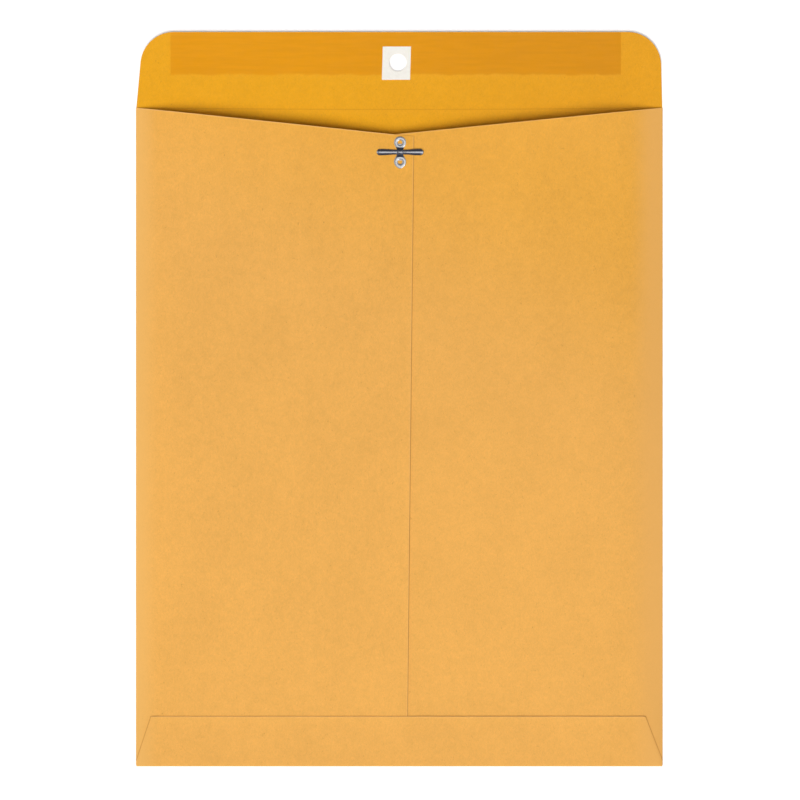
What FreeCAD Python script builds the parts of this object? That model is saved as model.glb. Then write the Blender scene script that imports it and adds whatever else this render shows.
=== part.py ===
"""Open-end kraft clasp envelope, lying on its address side with its flap open.

One sheet of kraft paper is cut to a blank and folded. The back panel is the address side, the two side
panels fold over it and lap at the centre seam, and the bottom flap folds up over both. The closing flap
carries on from the back panel's top edge. A stamped two-prong clasp is riveted through the lapped panels by
its own two eyelets, and its prongs bend up to pass through the reinforced hole of the closing flap.

Axes: +X to the right of the seam side, +Y towards the closing flap, +Z up. The origin is the centre of the
body rectangle, on the face that it rests on. All sizes are in millimetres.
"""

import FreeCAD
import Part
import math
import os

import Sketcher

Vector = FreeCAD.Vector
Rotation = FreeCAD.Rotation

X_AXIS = Vector(1, 0, 0)
Y_AXIS = Vector(0, 1, 0)
Z_AXIS = Vector(0, 0, 1)

SIZES = {
    # the folded body
    "body_width": 293.4,
    "body_height": 366.9,
    "paper_thickness": 0.16,
    "fold_gap": 0.10,
    "glue_gap": 0.05,
    "belly_rise": 5.2,
    "side_shoulder": 20.0,
    "side_round": 109.0,
    "bottom_shoulder": 49.0,
    "bottom_round": 390.0,
    # the two side panels, their throat and their centre seam
    "panel_hem": 0.8,
    "throat_depth": 15.0,
    "throat_offset": -3.0,
    "seam_top": 8.0,
    "seam_bottom": 4.2,
    "seam_overlap": 24.0,
    # the bottom flap
    "bottom_flap_height": 27.9,
    "bottom_flap_left_rise": 2.5,
    "bottom_flap_right_rise": 3.2,
    "bottom_flap_left_taper": 8.5,
    "bottom_flap_right_taper": 9.7,
    "bottom_flap_corner": 1.2,
    "bottom_fold_inset": 0.25,
    # the closing flap
    "flap_height": 42.1,
    "flap_lift": 1.6,
    "flap_left_taper": 4.1,
    "flap_right_taper": 1.3,
    "flap_corner": 18.6,
    # the gum on the closing flap
    "gum_left": 127.7,
    "gum_right": 123.7,
    "gum_height": 24.3,
    "gum_edge": 0.3,
    "gum_thickness": 0.04,
    # the hole in the closing flap and the patch that reinforces it
    "hole_radius": 4.9,
    "hole_offset": -0.8,
    "hole_up": 25.1,
    "patch_width": 15.7,
    "patch_height": 18.5,
    "patch_offset": -1.6,
    "patch_up": 24.8,
    "patch_skew": 0.5,
    "patch_corner": 0.6,
    "patch_thickness": 0.12,
    # the films of adhesive under the seam and under the bottom flap
    "glue_clearance": 0.01,
    "seam_glue_width": 12.0,
    "seam_glue_edge": 4.0,
    "seam_glue_top": 48.0,
    "seam_glue_low": 72.0,
    "bottom_glue_edge": 4.0,
    "bottom_glue_height": 18.0,
    # the clasp, whose place is set from the hole that closes over it
    "clasp_across": 1.2,
    "clasp_short": 0.2,
    "clasp_metal": 0.3,
    "waist_width": 3.5,
    "lobe_spread": 5.35,
    "lobe_radius": 3.4,
    "lobe_rim": 0.18,
    "lobe_crown": 0.55,
    "eyelet_bore": 1.45,
    "eyelet_wall": 0.25,
    "eyelet_flare": 2.5,
    "eyelet_flange": 0.22,
    "eyelet_play": 0.03,
    "prong_reach": 13.1,
    "prong_root": 2.0,
    "prong_root_width": 2.7,
    "prong_tip_width": 3.6,
    "prong_tip_round": 1.6,
    "prong_rise": 0.9,
    "root_radius": 0.4,
    "root_clearance": 0.05,
    "saddle_width": 2.5,
    "saddle_rise": 1.05,
    # how far a cutting shape runs past what it cuts
    "cut_margin": 1.0,
}

HALF_WIDTH = "(Sizes.body_width / 2)"
HALF_HEIGHT = "(Sizes.body_height / 2)"
PAPER = "Sizes.paper_thickness"
MARGIN = "Sizes.cut_margin"
LAYER = f"({PAPER} + Sizes.glue_gap)"
PANEL_FOOT = f"({PAPER} + Sizes.fold_gap)"
BOTTOM_FOOT = f"({PANEL_FOOT} + 2 * {LAYER})"
CROWN = f"({PANEL_FOOT} + Sizes.belly_rise)"
SIDE_RADIUS = f"(({PANEL_FOOT} + {PAPER}) / 2)"
BOTTOM_RADIUS = f"(({BOTTOM_FOOT} + {PAPER}) / 2)"
SIDE_LINE = f"({HALF_WIDTH} - {SIDE_RADIUS})"
BOTTOM_LINE = f"({BOTTOM_RADIUS} - {HALF_HEIGHT})"
PANEL_BOTTOM = f"(Sizes.panel_hem - {HALF_HEIGHT})"
HIDDEN_EDGE = "(Sizes.seam_top - Sizes.seam_overlap)"
FLAP_SLOPE = "(Sizes.flap_lift / Sizes.flap_height)"
PANELS_TOP = f"({CROWN} + {LAYER} + {PAPER})"
CLASP_X = "(Sizes.hole_offset + Sizes.clasp_across)"
CLASP_Y = f"({HALF_HEIGHT} - Sizes.hole_up + Sizes.clasp_short)"
EYELET_RADIUS = "(Sizes.eyelet_bore + Sizes.eyelet_wall)"
PRONG_LENGTH = "(Sizes.prong_reach - Sizes.prong_root)"
ROOT_HEIGHT = "(Sizes.clasp_metal + Sizes.root_clearance + Sizes.root_radius)"

doc = FreeCAD.newDocument("clasp_envelope")


def make_sheet():
    """Puts every driving size in a spreadsheet, with its name in column A and its value in column B."""
    sheet = doc.addObject("Spreadsheet::Sheet", "Sizes")
    for row, (name, number) in enumerate(SIZES.items(), start=1):
        sheet.set(f"A{row}", name)
        sheet.set(f"B{row}", str(number))
        sheet.setAlias(f"B{row}", name)
    doc.recompute()
    return sheet


sizes = make_sheet()


def value(expression):
    """The present number of an expression over the sheet's sizes."""
    return float(sizes.evalExpression(str(expression)))


class Corner:
    """A corner of an outline: its place, the radius that rounds it, and the radius of an arc to the next."""

    def __init__(self, x, y, rounding=None, arc=None):
        self.x = x
        self.y = y
        self.rounding = rounding
        self.arc = arc

    def place(self):
        return Vector(value(self.x), value(self.y), 0)


def bind(sketch, constraint, expression):
    """Adds a constraint and ties its number to an expression over the sheet."""
    index = sketch.addConstraint(constraint)
    sketch.setExpression(f"Constraints[{index}]", expression)


def mark_corner(sketch, corner):
    """A construction point held at the corner's place."""
    place = corner.place()
    mark = sketch.addGeometry(Part.Point(place), True)
    bind(sketch, Sketcher.Constraint("DistanceX", -1, 1, mark, 1, place.x), corner.x)
    bind(sketch, Sketcher.Constraint("DistanceY", -1, 1, mark, 1, place.y), corner.y)
    return mark


def rounding_setback(corner, before, after):
    """How far the rounding of a corner starts from it, along the lines to its two neighbours."""
    if corner.rounding is None:
        return 0.0
    place = corner.place()
    opening = (before.place() - place).getAngle(after.place() - place)
    return value(corner.rounding) / math.tan(opening / 2)


def towards(start, end, distance):
    """The point that lies a distance from start, on the way to end."""
    return start + (end - start).normalize() * distance


def arc_middle(start, end, radius):
    """The middle of the arc that runs anticlockwise from start to end."""
    chord = end - start
    sagitta = radius - math.sqrt(radius**2 - (chord.Length / 2) ** 2)
    outward = Vector(chord.y, -chord.x, 0).normalize()
    return (start + end) / 2 + outward * sagitta


def draw_outline(sketch, corners):
    """Draws a closed anticlockwise outline, with every place and radius tied to the sheet."""
    count = len(corners)
    marks = [mark_corner(sketch, corner) for corner in corners]
    setbacks = []
    for i, corner in enumerate(corners):
        setbacks.append(rounding_setback(corner, corners[i - 1], corners[(i + 1) % count]))
    edges = []
    for i, corner in enumerate(corners):
        following = (i + 1) % count
        start = corner.place()
        end = corners[following].place()
        if corner.arc is not None:
            radius = value(corner.arc)
            edge = sketch.addGeometry(Part.Arc(start, arc_middle(start, end, radius), end), False)
            bind(sketch, Sketcher.Constraint("Radius", edge, radius), corner.arc)
        else:
            first = towards(start, end, setbacks[i])
            last = towards(end, start, setbacks[following])
            edge = sketch.addGeometry(Part.LineSegment(first, last), False)
        edges.append(edge)
    for i, corner in enumerate(corners):
        if corner.rounding is None:
            sketch.addConstraint(Sketcher.Constraint("Coincident", edges[i], 1, marks[i], 1))
            sketch.addConstraint(Sketcher.Constraint("Coincident", edges[i - 1], 2, marks[i], 1))
        else:
            round_corner(sketch, corners, i, marks[i], edges[i - 1], edges[i], setbacks[i])


def round_corner(sketch, corners, i, mark, edge_in, edge_out, setback):
    """Adds the arc that rounds one corner, tangent to the lines on its two sides."""
    place = corners[i].place()
    radius = value(corners[i].rounding)
    start = towards(place, corners[i - 1].place(), setback)
    end = towards(place, corners[(i + 1) % len(corners)].place(), setback)
    arc = sketch.addGeometry(Part.Arc(start, arc_middle(start, end, radius), end), False)
    sketch.addConstraint(Sketcher.Constraint("PointOnObject", mark, 1, edge_in))
    sketch.addConstraint(Sketcher.Constraint("PointOnObject", mark, 1, edge_out))
    sketch.addConstraint(Sketcher.Constraint("Tangent", edge_in, 2, arc, 1))
    sketch.addConstraint(Sketcher.Constraint("Tangent", arc, 2, edge_out, 1))
    bind(sketch, Sketcher.Constraint("Radius", arc, radius), corners[i].rounding)


# The three ways that a prism's outline can be seen: from above, from the front, and from the right side.
VIEWS = {
    "plan": (Rotation(), Z_AXIS, "z"),
    "front": (Rotation(X_AXIS, Z_AXIS, -Y_AXIS, "XYZ"), Y_AXIS, "y"),
    "side": (Rotation(Y_AXIS, Z_AXIS, X_AXIS, "XYZ"), X_AXIS, "x"),
}


def prism(name, view, corners, start, length):
    """A solid with the outline's section, from start along the view's axis for the length."""
    rotation, axis, letter = VIEWS[view]
    sketch = doc.addObject("Sketcher::SketchObject", f"{name}_outline")
    sketch.Placement = FreeCAD.Placement(Vector(), rotation)
    sketch.setExpression(f"Placement.Base.{letter}", start)
    draw_outline(sketch, corners)
    solid = doc.addObject("Part::Extrusion", name)
    solid.Base = sketch
    solid.DirMode = "Custom"
    solid.Dir = axis
    solid.Solid = True
    solid.setExpression("LengthFwd", length)
    return solid


def cut(name, base, tool):
    result = doc.addObject("Part::Cut", name)
    result.Base = base
    result.Tool = tool
    return result


def common(name, base, tool):
    result = doc.addObject("Part::Common", name)
    result.Base = base
    result.Tool = tool
    return result


def fuse(name, pieces):
    result = doc.addObject("Part::MultiFuse", name)
    result.Shapes = pieces
    return result


def rod(name, radius, length, x, y, z, rotation=Rotation(), sweep=360):
    """A cylinder, or part of one, tied to the sheet."""
    cylinder = doc.addObject("Part::Cylinder", name)
    cylinder.Placement = FreeCAD.Placement(Vector(), rotation)
    cylinder.Angle = sweep
    cylinder.setExpression("Radius", radius)
    cylinder.setExpression("Height", length)
    cylinder.setExpression("Placement.Base.x", x)
    cylinder.setExpression("Placement.Base.y", y)
    cylinder.setExpression("Placement.Base.z", z)
    return cylinder


class Swell:
    """The underside of a folded layer: its heights at the side folds, at the bottom fold and at its crown."""

    def __init__(self, side_foot, bottom_foot, crown):
        self.side_foot = side_foot
        self.bottom_foot = bottom_foot
        self.crown = crown

    def lifted(self, amount):
        return Swell(
            f"({self.side_foot} + {amount})",
            f"({self.bottom_foot} + {amount})",
            f"({self.crown} + {amount})",
        )


RIGHT_SWELL = Swell(PANEL_FOOT, PANEL_FOOT, CROWN)
LEFT_SWELL = Swell(PANEL_FOOT, f"({PANEL_FOOT} + {LAYER})", f"({CROWN} + {LAYER})")
BOTTOM_SWELL = Swell(BOTTOM_FOOT, BOTTOM_FOOT, f"({CROWN} + 2 * {LAYER})")


def swell_core(name, swell, spare):
    """The space under a swell, which rises from the folds on straight ramps that round into a level top.

    It runs past the body by spare margins on every side that isn't its top.
    """
    past = f"({spare} * {MARGIN})"
    shoulder = f"({SIDE_LINE} - Sizes.side_shoulder)"
    across = [
        Corner(f"-{SIDE_LINE} - {past}", f"-{past}"),
        Corner(f"{SIDE_LINE} + {past}", f"-{past}"),
        Corner(f"{SIDE_LINE} + {past}", swell.side_foot),
        Corner(SIDE_LINE, swell.side_foot),
        Corner(shoulder, swell.crown, rounding="Sizes.side_round"),
        Corner(f"-{shoulder}", swell.crown, rounding="Sizes.side_round"),
        Corner(f"-{SIDE_LINE}", swell.side_foot),
        Corner(f"-{SIDE_LINE} - {past}", swell.side_foot),
    ]
    along = [
        Corner(f"{BOTTOM_LINE} - {past}", f"-{past}"),
        Corner(f"{HALF_HEIGHT} + {past}", f"-{past}"),
        Corner(f"{HALF_HEIGHT} + {past}", swell.crown),
        Corner(f"{BOTTOM_LINE} + Sizes.bottom_shoulder", swell.crown, rounding="Sizes.bottom_round"),
        Corner(BOTTOM_LINE, swell.bottom_foot),
        Corner(f"{BOTTOM_LINE} - {past}", swell.bottom_foot),
    ]
    depth = f"Sizes.body_height + 2 * {past}"
    width = f"Sizes.body_width + 2 * {past}"
    row_across = prism(f"{name}_across", "front", across, f"-{HALF_HEIGHT} - {past}", depth)
    row_along = prism(f"{name}_along", "side", along, f"-{HALF_WIDTH} - {past}", width)
    return common(name, row_across, row_along)


def plan_prism(name, corners):
    """The outline seen from above, tall enough to cut any layer."""
    return prism(name, "plan", corners, f"-{MARGIN}", f"{PANELS_TOP} + 2 * {LAYER} + 2 * {MARGIN}")


def folded_layer(name, corners, swell, thickness):
    """A layer of even thickness that follows a swell, with its outline cut as seen from above."""
    over = swell_core(f"{name}_over", swell.lifted(thickness), 1)
    under = swell_core(f"{name}_under", swell, 2)
    skin = cut(f"{name}_skin", over, under)
    return common(name, skin, plan_prism(f"{name}_plan", corners))


def flap_layer(name, corners, base, thickness):
    """A layer that lies parallel to the closing flap, with its outline cut as seen from above."""
    near = f"({HALF_HEIGHT} - {MARGIN})"
    far = f"({HALF_HEIGHT} + Sizes.flap_height + {MARGIN})"
    near_z = f"({base} - {FLAP_SLOPE} * {MARGIN})"
    far_z = f"({base} + Sizes.flap_lift + {FLAP_SLOPE} * {MARGIN})"
    slope = [
        Corner(near, near_z),
        Corner(far, far_z),
        Corner(far, f"{far_z} + {thickness}"),
        Corner(near, f"{near_z} + {thickness}"),
    ]
    length = f"Sizes.body_width + 2 * {MARGIN}"
    band = prism(f"{name}_slope", "side", slope, f"-{HALF_WIDTH} - {MARGIN}", length)
    return common(name, band, plan_prism(f"{name}_plan", corners))


def make_fold(name, radius, length, start, rotation):
    """Half a tube of paper: the bend between two layers. Start is its axis's first point."""
    outer = rod(f"{name}_outside", radius, length, *start, rotation=rotation, sweep=180)
    inner = rod(f"{name}_inside", f"{radius} - {PAPER}", length, *start, rotation=rotation, sweep=180)
    return cut(name, outer, inner)


def side_fold(name, side):
    """The bend along one side of the body. Side is 1 on the right and -1 on the left."""
    start = (f"{side} * {SIDE_LINE}", PANEL_BOTTOM, SIDE_RADIUS)
    rotation = Rotation(Z_AXIS * side, X_AXIS * side, Y_AXIS, "XYZ")
    return make_fold(name, SIDE_RADIUS, "Sizes.body_height - Sizes.panel_hem", start, rotation)


def bottom_fold():
    """The bend along the bottom of the body, wide enough to take the side panels inside it."""
    inset = "Sizes.bottom_fold_inset"
    start = (f"{inset} - {HALF_WIDTH}", BOTTOM_LINE, BOTTOM_RADIUS)
    rotation = Rotation(Z_AXIS, -Y_AXIS, X_AXIS, "XYZ")
    return make_fold("bottom_fold", BOTTOM_RADIUS, f"Sizes.body_width - 2 * {inset}", start, rotation)


def back_panel():
    """The address side, which lies on the surface."""
    panel = doc.addObject("Part::Box", "back_panel")
    panel.setExpression("Length", f"2 * {SIDE_LINE}")
    panel.setExpression("Width", f"{HALF_HEIGHT} - {BOTTOM_LINE}")
    panel.setExpression("Height", PAPER)
    panel.setExpression("Placement.Base.x", f"-{SIDE_LINE}")
    panel.setExpression("Placement.Base.y", BOTTOM_LINE)
    return panel


def throat_y(side, x):
    """Where a side panel's top edge is at x. Both edges run from the body's top corners through the throat's point."""
    away = f"({HALF_WIDTH} - {side} * {x})"
    run = f"({HALF_WIDTH} - {side} * Sizes.throat_offset)"
    return f"({HALF_HEIGHT} - Sizes.throat_depth * {away} / {run})"


def right_panel():
    """The lower side panel. Its inner edge is hidden under the left panel."""
    corners = [
        Corner(HIDDEN_EDGE, PANEL_BOTTOM),
        Corner(SIDE_LINE, PANEL_BOTTOM),
        Corner(SIDE_LINE, throat_y(1, SIDE_LINE)),
        Corner(HIDDEN_EDGE, throat_y(1, HIDDEN_EDGE)),
    ]
    return folded_layer("right_panel", corners, RIGHT_SWELL, PAPER)


def left_panel():
    """The upper side panel, whose edge is the centre seam that shows."""
    corners = [
        Corner(f"-{SIDE_LINE}", PANEL_BOTTOM),
        Corner("Sizes.seam_bottom", PANEL_BOTTOM),
        Corner("Sizes.seam_top", throat_y(-1, "Sizes.seam_top")),
        Corner(f"-{SIDE_LINE}", throat_y(-1, f"-{SIDE_LINE}")),
    ]
    return folded_layer("left_panel", corners, LEFT_SWELL, PAPER)


def bottom_flap():
    """The flap folded up over both side panels, with its slanted ends."""
    half = f"({HALF_WIDTH} - Sizes.bottom_fold_inset)"
    top = f"(Sizes.bottom_flap_height - {HALF_HEIGHT})"
    corners = [
        Corner(f"-{half}", BOTTOM_LINE),
        Corner(half, BOTTOM_LINE),
        Corner(half, f"Sizes.bottom_flap_right_rise - {HALF_HEIGHT}"),
        Corner(f"{HALF_WIDTH} - Sizes.bottom_flap_right_taper", top, rounding="Sizes.bottom_flap_corner"),
        Corner(f"Sizes.bottom_flap_left_taper - {HALF_WIDTH}", top, rounding="Sizes.bottom_flap_corner"),
        Corner(f"-{half}", f"Sizes.bottom_flap_left_rise - {HALF_HEIGHT}"),
    ]
    return folded_layer("bottom_flap", corners, BOTTOM_SWELL, PAPER)


def closing_flap():
    """The open flap, with its two large round corners. It rises a little from the fold."""
    top = f"({HALF_HEIGHT} + Sizes.flap_height)"
    corners = [
        Corner(f"-{SIDE_LINE}", HALF_HEIGHT),
        Corner(SIDE_LINE, HALF_HEIGHT),
        Corner(f"{HALF_WIDTH} - Sizes.flap_right_taper", top, rounding="Sizes.flap_corner"),
        Corner(f"Sizes.flap_left_taper - {HALF_WIDTH}", top, rounding="Sizes.flap_corner"),
    ]
    return flap_layer("closing_flap", corners, "0", PAPER)


def flap_hole(name):
    """The cutter of the round hole through the closing flap and its patch."""
    return rod(
        name,
        "Sizes.hole_radius",
        f"{PAPER} + Sizes.flap_lift + 2 * {MARGIN}",
        "Sizes.hole_offset",
        f"{HALF_HEIGHT} + Sizes.hole_up",
        f"-{MARGIN} / 2",
    )


def eyelet_hole(name, side):
    """The cutter of the hole that one eyelet passes through, in both lapped panels."""
    return rod(
        name,
        f"{EYELET_RADIUS} + Sizes.eyelet_play",
        f"2 * {LAYER} + 2 * {MARGIN}",
        CLASP_X,
        f"{CLASP_Y} + {side} * Sizes.lobe_spread",
        f"{CROWN} - {MARGIN}",
    )


def envelope_sheet():
    """The whole folded sheet of kraft paper, one solid."""
    folded = fuse(
        "folded_sheet",
        [
            back_panel(),
            side_fold("right_fold", 1),
            side_fold("left_fold", -1),
            bottom_fold(),
            right_panel(),
            left_panel(),
            bottom_flap(),
            closing_flap(),
        ],
    )
    holes = fuse(
        "sheet_holes",
        [
            flap_hole("sheet_flap_hole"),
            eyelet_hole("upper_eyelet_hole", 1),
            eyelet_hole("lower_eyelet_hole", -1),
        ],
    )
    return cut("envelope_sheet", folded, holes)


def hole_patch():
    """The paper patch glued round the flap's hole. It was stuck on a little skewed."""
    middle_y = f"({HALF_HEIGHT} + Sizes.patch_up)"
    half_x = "(Sizes.patch_width / 2)"
    half_y = "(Sizes.patch_height / 2)"
    skew = "(Sizes.patch_skew / 2)"
    rounding = "Sizes.patch_corner"
    corners = [
        Corner(f"Sizes.patch_offset - {half_x} - {skew}", f"{middle_y} - {half_y}", rounding=rounding),
        Corner(f"Sizes.patch_offset + {half_x} - {skew}", f"{middle_y} - {half_y}", rounding=rounding),
        Corner(f"Sizes.patch_offset + {half_x} + {skew}", f"{middle_y} + {half_y}", rounding=rounding),
        Corner(f"Sizes.patch_offset - {half_x} + {skew}", f"{middle_y} + {half_y}", rounding=rounding),
    ]
    pad = flap_layer("patch_pad", corners, PAPER, "Sizes.patch_thickness")
    return cut("hole_patch", pad, flap_hole("patch_hole"))


def flap_gum():
    """The band of dry gum along the closing flap's free edge, with room left round the patch."""
    top = f"({HALF_HEIGHT} + Sizes.flap_height - Sizes.gum_edge)"
    corners = [
        Corner("-Sizes.gum_left", f"{top} - Sizes.gum_height"),
        Corner("Sizes.gum_right", f"{top} - Sizes.gum_height"),
        Corner("Sizes.gum_right", top),
        Corner("-Sizes.gum_left", top),
    ]
    band = flap_layer("gum_band", corners, PAPER, "Sizes.gum_thickness")
    keep_x = f"(Sizes.patch_width / 2 + Sizes.patch_skew / 2 + Sizes.glue_clearance)"
    keep_y = f"({HALF_HEIGHT} + Sizes.patch_up - Sizes.patch_height / 2 - Sizes.glue_clearance)"
    keep_top = f"({HALF_HEIGHT} + Sizes.patch_up + Sizes.patch_height / 2 + Sizes.glue_clearance)"
    patch_room = [
        Corner(f"Sizes.patch_offset - {keep_x}", keep_y),
        Corner(f"Sizes.patch_offset + {keep_x}", keep_y),
        Corner(f"Sizes.patch_offset + {keep_x}", keep_top),
        Corner(f"Sizes.patch_offset - {keep_x}", keep_top),
    ]
    return cut("flap_gum", band, plan_prism("patch_room", patch_room))


def seam_glue():
    """The film of adhesive that joins the left panel to the right one along the seam."""
    right = "(Sizes.seam_bottom - Sizes.seam_glue_edge)"
    left = f"({right} - Sizes.seam_glue_width)"
    top = f"({HALF_HEIGHT} - Sizes.seam_glue_top)"
    low = f"(Sizes.seam_glue_low - {HALF_HEIGHT})"
    corners = [Corner(left, low), Corner(right, low), Corner(right, top), Corner(left, top)]
    swell = RIGHT_SWELL.lifted(f"({PAPER} + Sizes.glue_clearance)")
    return folded_layer("seam_glue", corners, swell, "(Sizes.glue_gap - 2 * Sizes.glue_clearance)")


def bottom_glue():
    """The film of adhesive on the bottom flap's inner face, which holds it to the side panels."""
    top = f"(Sizes.bottom_flap_height - Sizes.bottom_glue_edge - {HALF_HEIGHT})"
    low = f"({top} - Sizes.bottom_glue_height)"
    left = f"(Sizes.bottom_flap_left_taper + Sizes.bottom_glue_edge - {HALF_WIDTH})"
    right = f"({HALF_WIDTH} - Sizes.bottom_flap_right_taper - Sizes.bottom_glue_edge)"
    corners = [Corner(left, low), Corner(right, low), Corner(right, top), Corner(left, top)]
    swell = BOTTOM_SWELL.lifted("(Sizes.glue_clearance - Sizes.glue_gap)")
    return folded_layer("bottom_glue", corners, swell, "(Sizes.glue_gap - 2 * Sizes.glue_clearance)")


def origin_part(body, role):
    """One of a body's own origin planes or axes."""
    return next(part for part in body.Origin.OriginFeatures if part.Role == role)


def body_sketch(body, name, role, corners):
    """A sketch on one of the body's origin planes."""
    sketch = body.newObject("Sketcher::SketchObject", name)
    sketch.AttachmentSupport = [(origin_part(body, role), "")]
    sketch.MapMode = "FlatFace"
    draw_outline(sketch, corners)
    return sketch


def pad(body, name, sketch, length, midplane=False):
    feature = body.newObject("PartDesign::Pad", name)
    feature.Profile = sketch
    feature.Midplane = midplane
    feature.setExpression("Length", length)
    return feature


def rectangle(left, right, low, high):
    return [Corner(left, low), Corner(right, low), Corner(right, high), Corner(left, high)]


def dome(half_width, foot, rise):
    """The outline of a low round rib: a flat foot, and an arc over it in two halves."""
    radius = f"(({half_width} ^ 2 + {rise} ^ 2) / (2 * {rise}))"
    return [
        Corner(f"-{half_width}", foot),
        Corner(half_width, foot, arc=radius),
        Corner("0", f"{foot} + {rise}", arc=radius),
    ]


def place_body(body, x, rotation, z):
    """Puts a clasp piece on the lapped panels, x from the clasp's middle and z above the paper."""
    body.Placement = FreeCAD.Placement(Vector(), rotation)
    body.setExpression("Placement.Base.x", f"{CLASP_X} + {x}")
    body.setExpression("Placement.Base.y", CLASP_Y)
    body.setExpression("Placement.Base.z", f"{PANELS_TOP} + {z}")


def lobe_section():
    """Half a lobe's section: a crowned ring on the paper, its tube through the panels, and its flange inside."""
    rim = "Sizes.lobe_rim"
    ring = "(Sizes.lobe_radius - Sizes.eyelet_bore)"
    crown = f"(({ring} ^ 2 / 4 + Sizes.lobe_crown ^ 2) / (2 * Sizes.lobe_crown))"
    flange_top = f"(-{PAPER} - {LAYER} - Sizes.eyelet_play)"
    flange_low = f"({flange_top} - Sizes.eyelet_flange)"
    return [
        Corner("Sizes.eyelet_bore", flange_low),
        Corner("Sizes.eyelet_flare", flange_low),
        Corner("Sizes.eyelet_flare", flange_top),
        Corner(EYELET_RADIUS, flange_top),
        Corner(EYELET_RADIUS, "0"),
        Corner("Sizes.lobe_radius", "0"),
        Corner("Sizes.lobe_radius", rim, arc=crown),
        Corner("Sizes.eyelet_bore", rim),
    ]


def clasp_base():
    """The stamped base: a waist and a cross tab on the paper, a low saddle on them, and two eyelets."""
    body = doc.addObject("PartDesign::Body", "clasp_base")
    half_waist = "(Sizes.waist_width / 2)"
    waist_end = "(Sizes.lobe_spread - (Sizes.lobe_radius + Sizes.eyelet_bore) / 2)"
    waist_outline = rectangle(f"-{half_waist}", half_waist, f"-{waist_end}", waist_end)
    waist = body_sketch(body, "waist_plan", "XY_Plane", waist_outline)
    pad(body, "waist", waist, "Sizes.clasp_metal")
    half_tab = "(Sizes.prong_root + Sizes.root_radius)"
    half_root = "(Sizes.prong_root_width / 2)"
    tab_outline = rectangle(f"-{half_tab}", half_tab, f"-{half_root}", half_root)
    tab = body_sketch(body, "tab_plan", "XY_Plane", tab_outline)
    pad(body, "tab", tab, "Sizes.clasp_metal")
    crest = "(Sizes.prong_rise - Sizes.root_radius)"
    saddle_length = f"2 * (Sizes.prong_root - {crest} - 2 * Sizes.root_clearance)"
    saddle_outline = dome("(Sizes.saddle_width / 2)", "0", "Sizes.saddle_rise")
    saddle = body_sketch(body, "saddle_section", "YZ_Plane", saddle_outline)
    pad(body, "saddle", saddle, saddle_length, midplane=True)
    section = body_sketch(body, "lobe_section", "YZ_Plane", lobe_section())
    section.setExpression("AttachmentOffset.Base.x", "Sizes.lobe_spread")
    doc.recompute()
    lobe = body.newObject("PartDesign::Revolution", "lobe")
    lobe.Profile = section
    lobe.ReferenceAxis = (section, ["V_Axis"])
    lobe.Angle = 360
    doc.recompute()
    mirrored = body.newObject("PartDesign::Mirrored", "other_lobe")
    mirrored.Originals = [lobe]
    mirrored.MirrorPlane = (origin_part(body, "XZ_Plane"), [""])
    body.Tip = mirrored
    place_body(body, "0", Rotation(), "0")
    return body


def prong(name, side):
    """One prong: a rib pressed into the strip, bent from the base at its root. Side is 1 right, -1 left.

    The origin of its own frame is the middle of the root, and it reaches out along its own +X.
    """
    body = doc.addObject("PartDesign::Body", name)
    metal = "Sizes.clasp_metal"
    foot = "-Sizes.root_radius"
    half_tip = "(Sizes.prong_tip_width / 2)"
    outer_section = dome(half_tip, foot, "Sizes.prong_rise")
    outside = body_sketch(body, f"{name}_rib_outside", "YZ_Plane", outer_section)
    pad(body, f"{name}_rib", outside, PRONG_LENGTH)
    inner_section = dome(f"({half_tip} - {metal})", foot, f"(Sizes.prong_rise - {metal})")
    inside = body_sketch(body, f"{name}_rib_inside", "YZ_Plane", inner_section)
    hollow = body.newObject("PartDesign::Pocket", f"{name}_hollow")
    hollow.Profile = inside
    hollow.Reversed = True
    hollow.setExpression("Length", f"{PRONG_LENGTH} - {metal}")
    half_root = "(Sizes.prong_root_width / 2)"
    outline = [
        Corner(f"-{MARGIN}", f"-{half_root}"),
        Corner(PRONG_LENGTH, f"-{half_tip}", rounding="Sizes.prong_tip_round"),
        Corner(PRONG_LENGTH, half_tip, rounding="Sizes.prong_tip_round"),
        Corner(f"-{MARGIN}", half_root),
    ]
    past = f"({half_tip} + {MARGIN})"
    surround = rectangle(f"-2 * {MARGIN}", f"{PRONG_LENGTH} + {MARGIN}", f"-{past}", past)
    trim_plan = body_sketch(body, f"{name}_trim_plan", "XY_Plane", surround)
    draw_outline(trim_plan, outline)
    trim = body.newObject("PartDesign::Pocket", f"{name}_trim")
    trim.Profile = trim_plan
    trim.Type = "ThroughAll"
    trim.Midplane = True
    root_section = body.newObject("Sketcher::SketchObject", f"{name}_root_section")
    root_section.AttachmentSupport = [(origin_part(body, "XZ_Plane"), "")]
    root_section.MapMode = "FlatFace"
    root_radius = "Sizes.root_radius"
    circle = root_section.addGeometry(Part.Circle(Vector(), Z_AXIS, value(root_radius)), False)
    root_section.addConstraint(Sketcher.Constraint("Coincident", circle, 3, -1, 1))
    bind(root_section, Sketcher.Constraint("Radius", circle, value(root_radius)), root_radius)
    pad(body, f"{name}_root", root_section, "Sizes.prong_root_width", midplane=True)
    turn = Rotation(Z_AXIS, 0 if side > 0 else 180)
    place_body(body, f"{side} * Sizes.prong_root", turn, ROOT_HEIGHT)
    return body


def check_document():
    """Stops if anything in the document failed to build."""
    for item in doc.Objects:
        failed = {"Invalid", "Error"} & set(item.State)
        if failed:
            raise RuntimeError(f"{item.Name} did not build: {item.State}")


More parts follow.
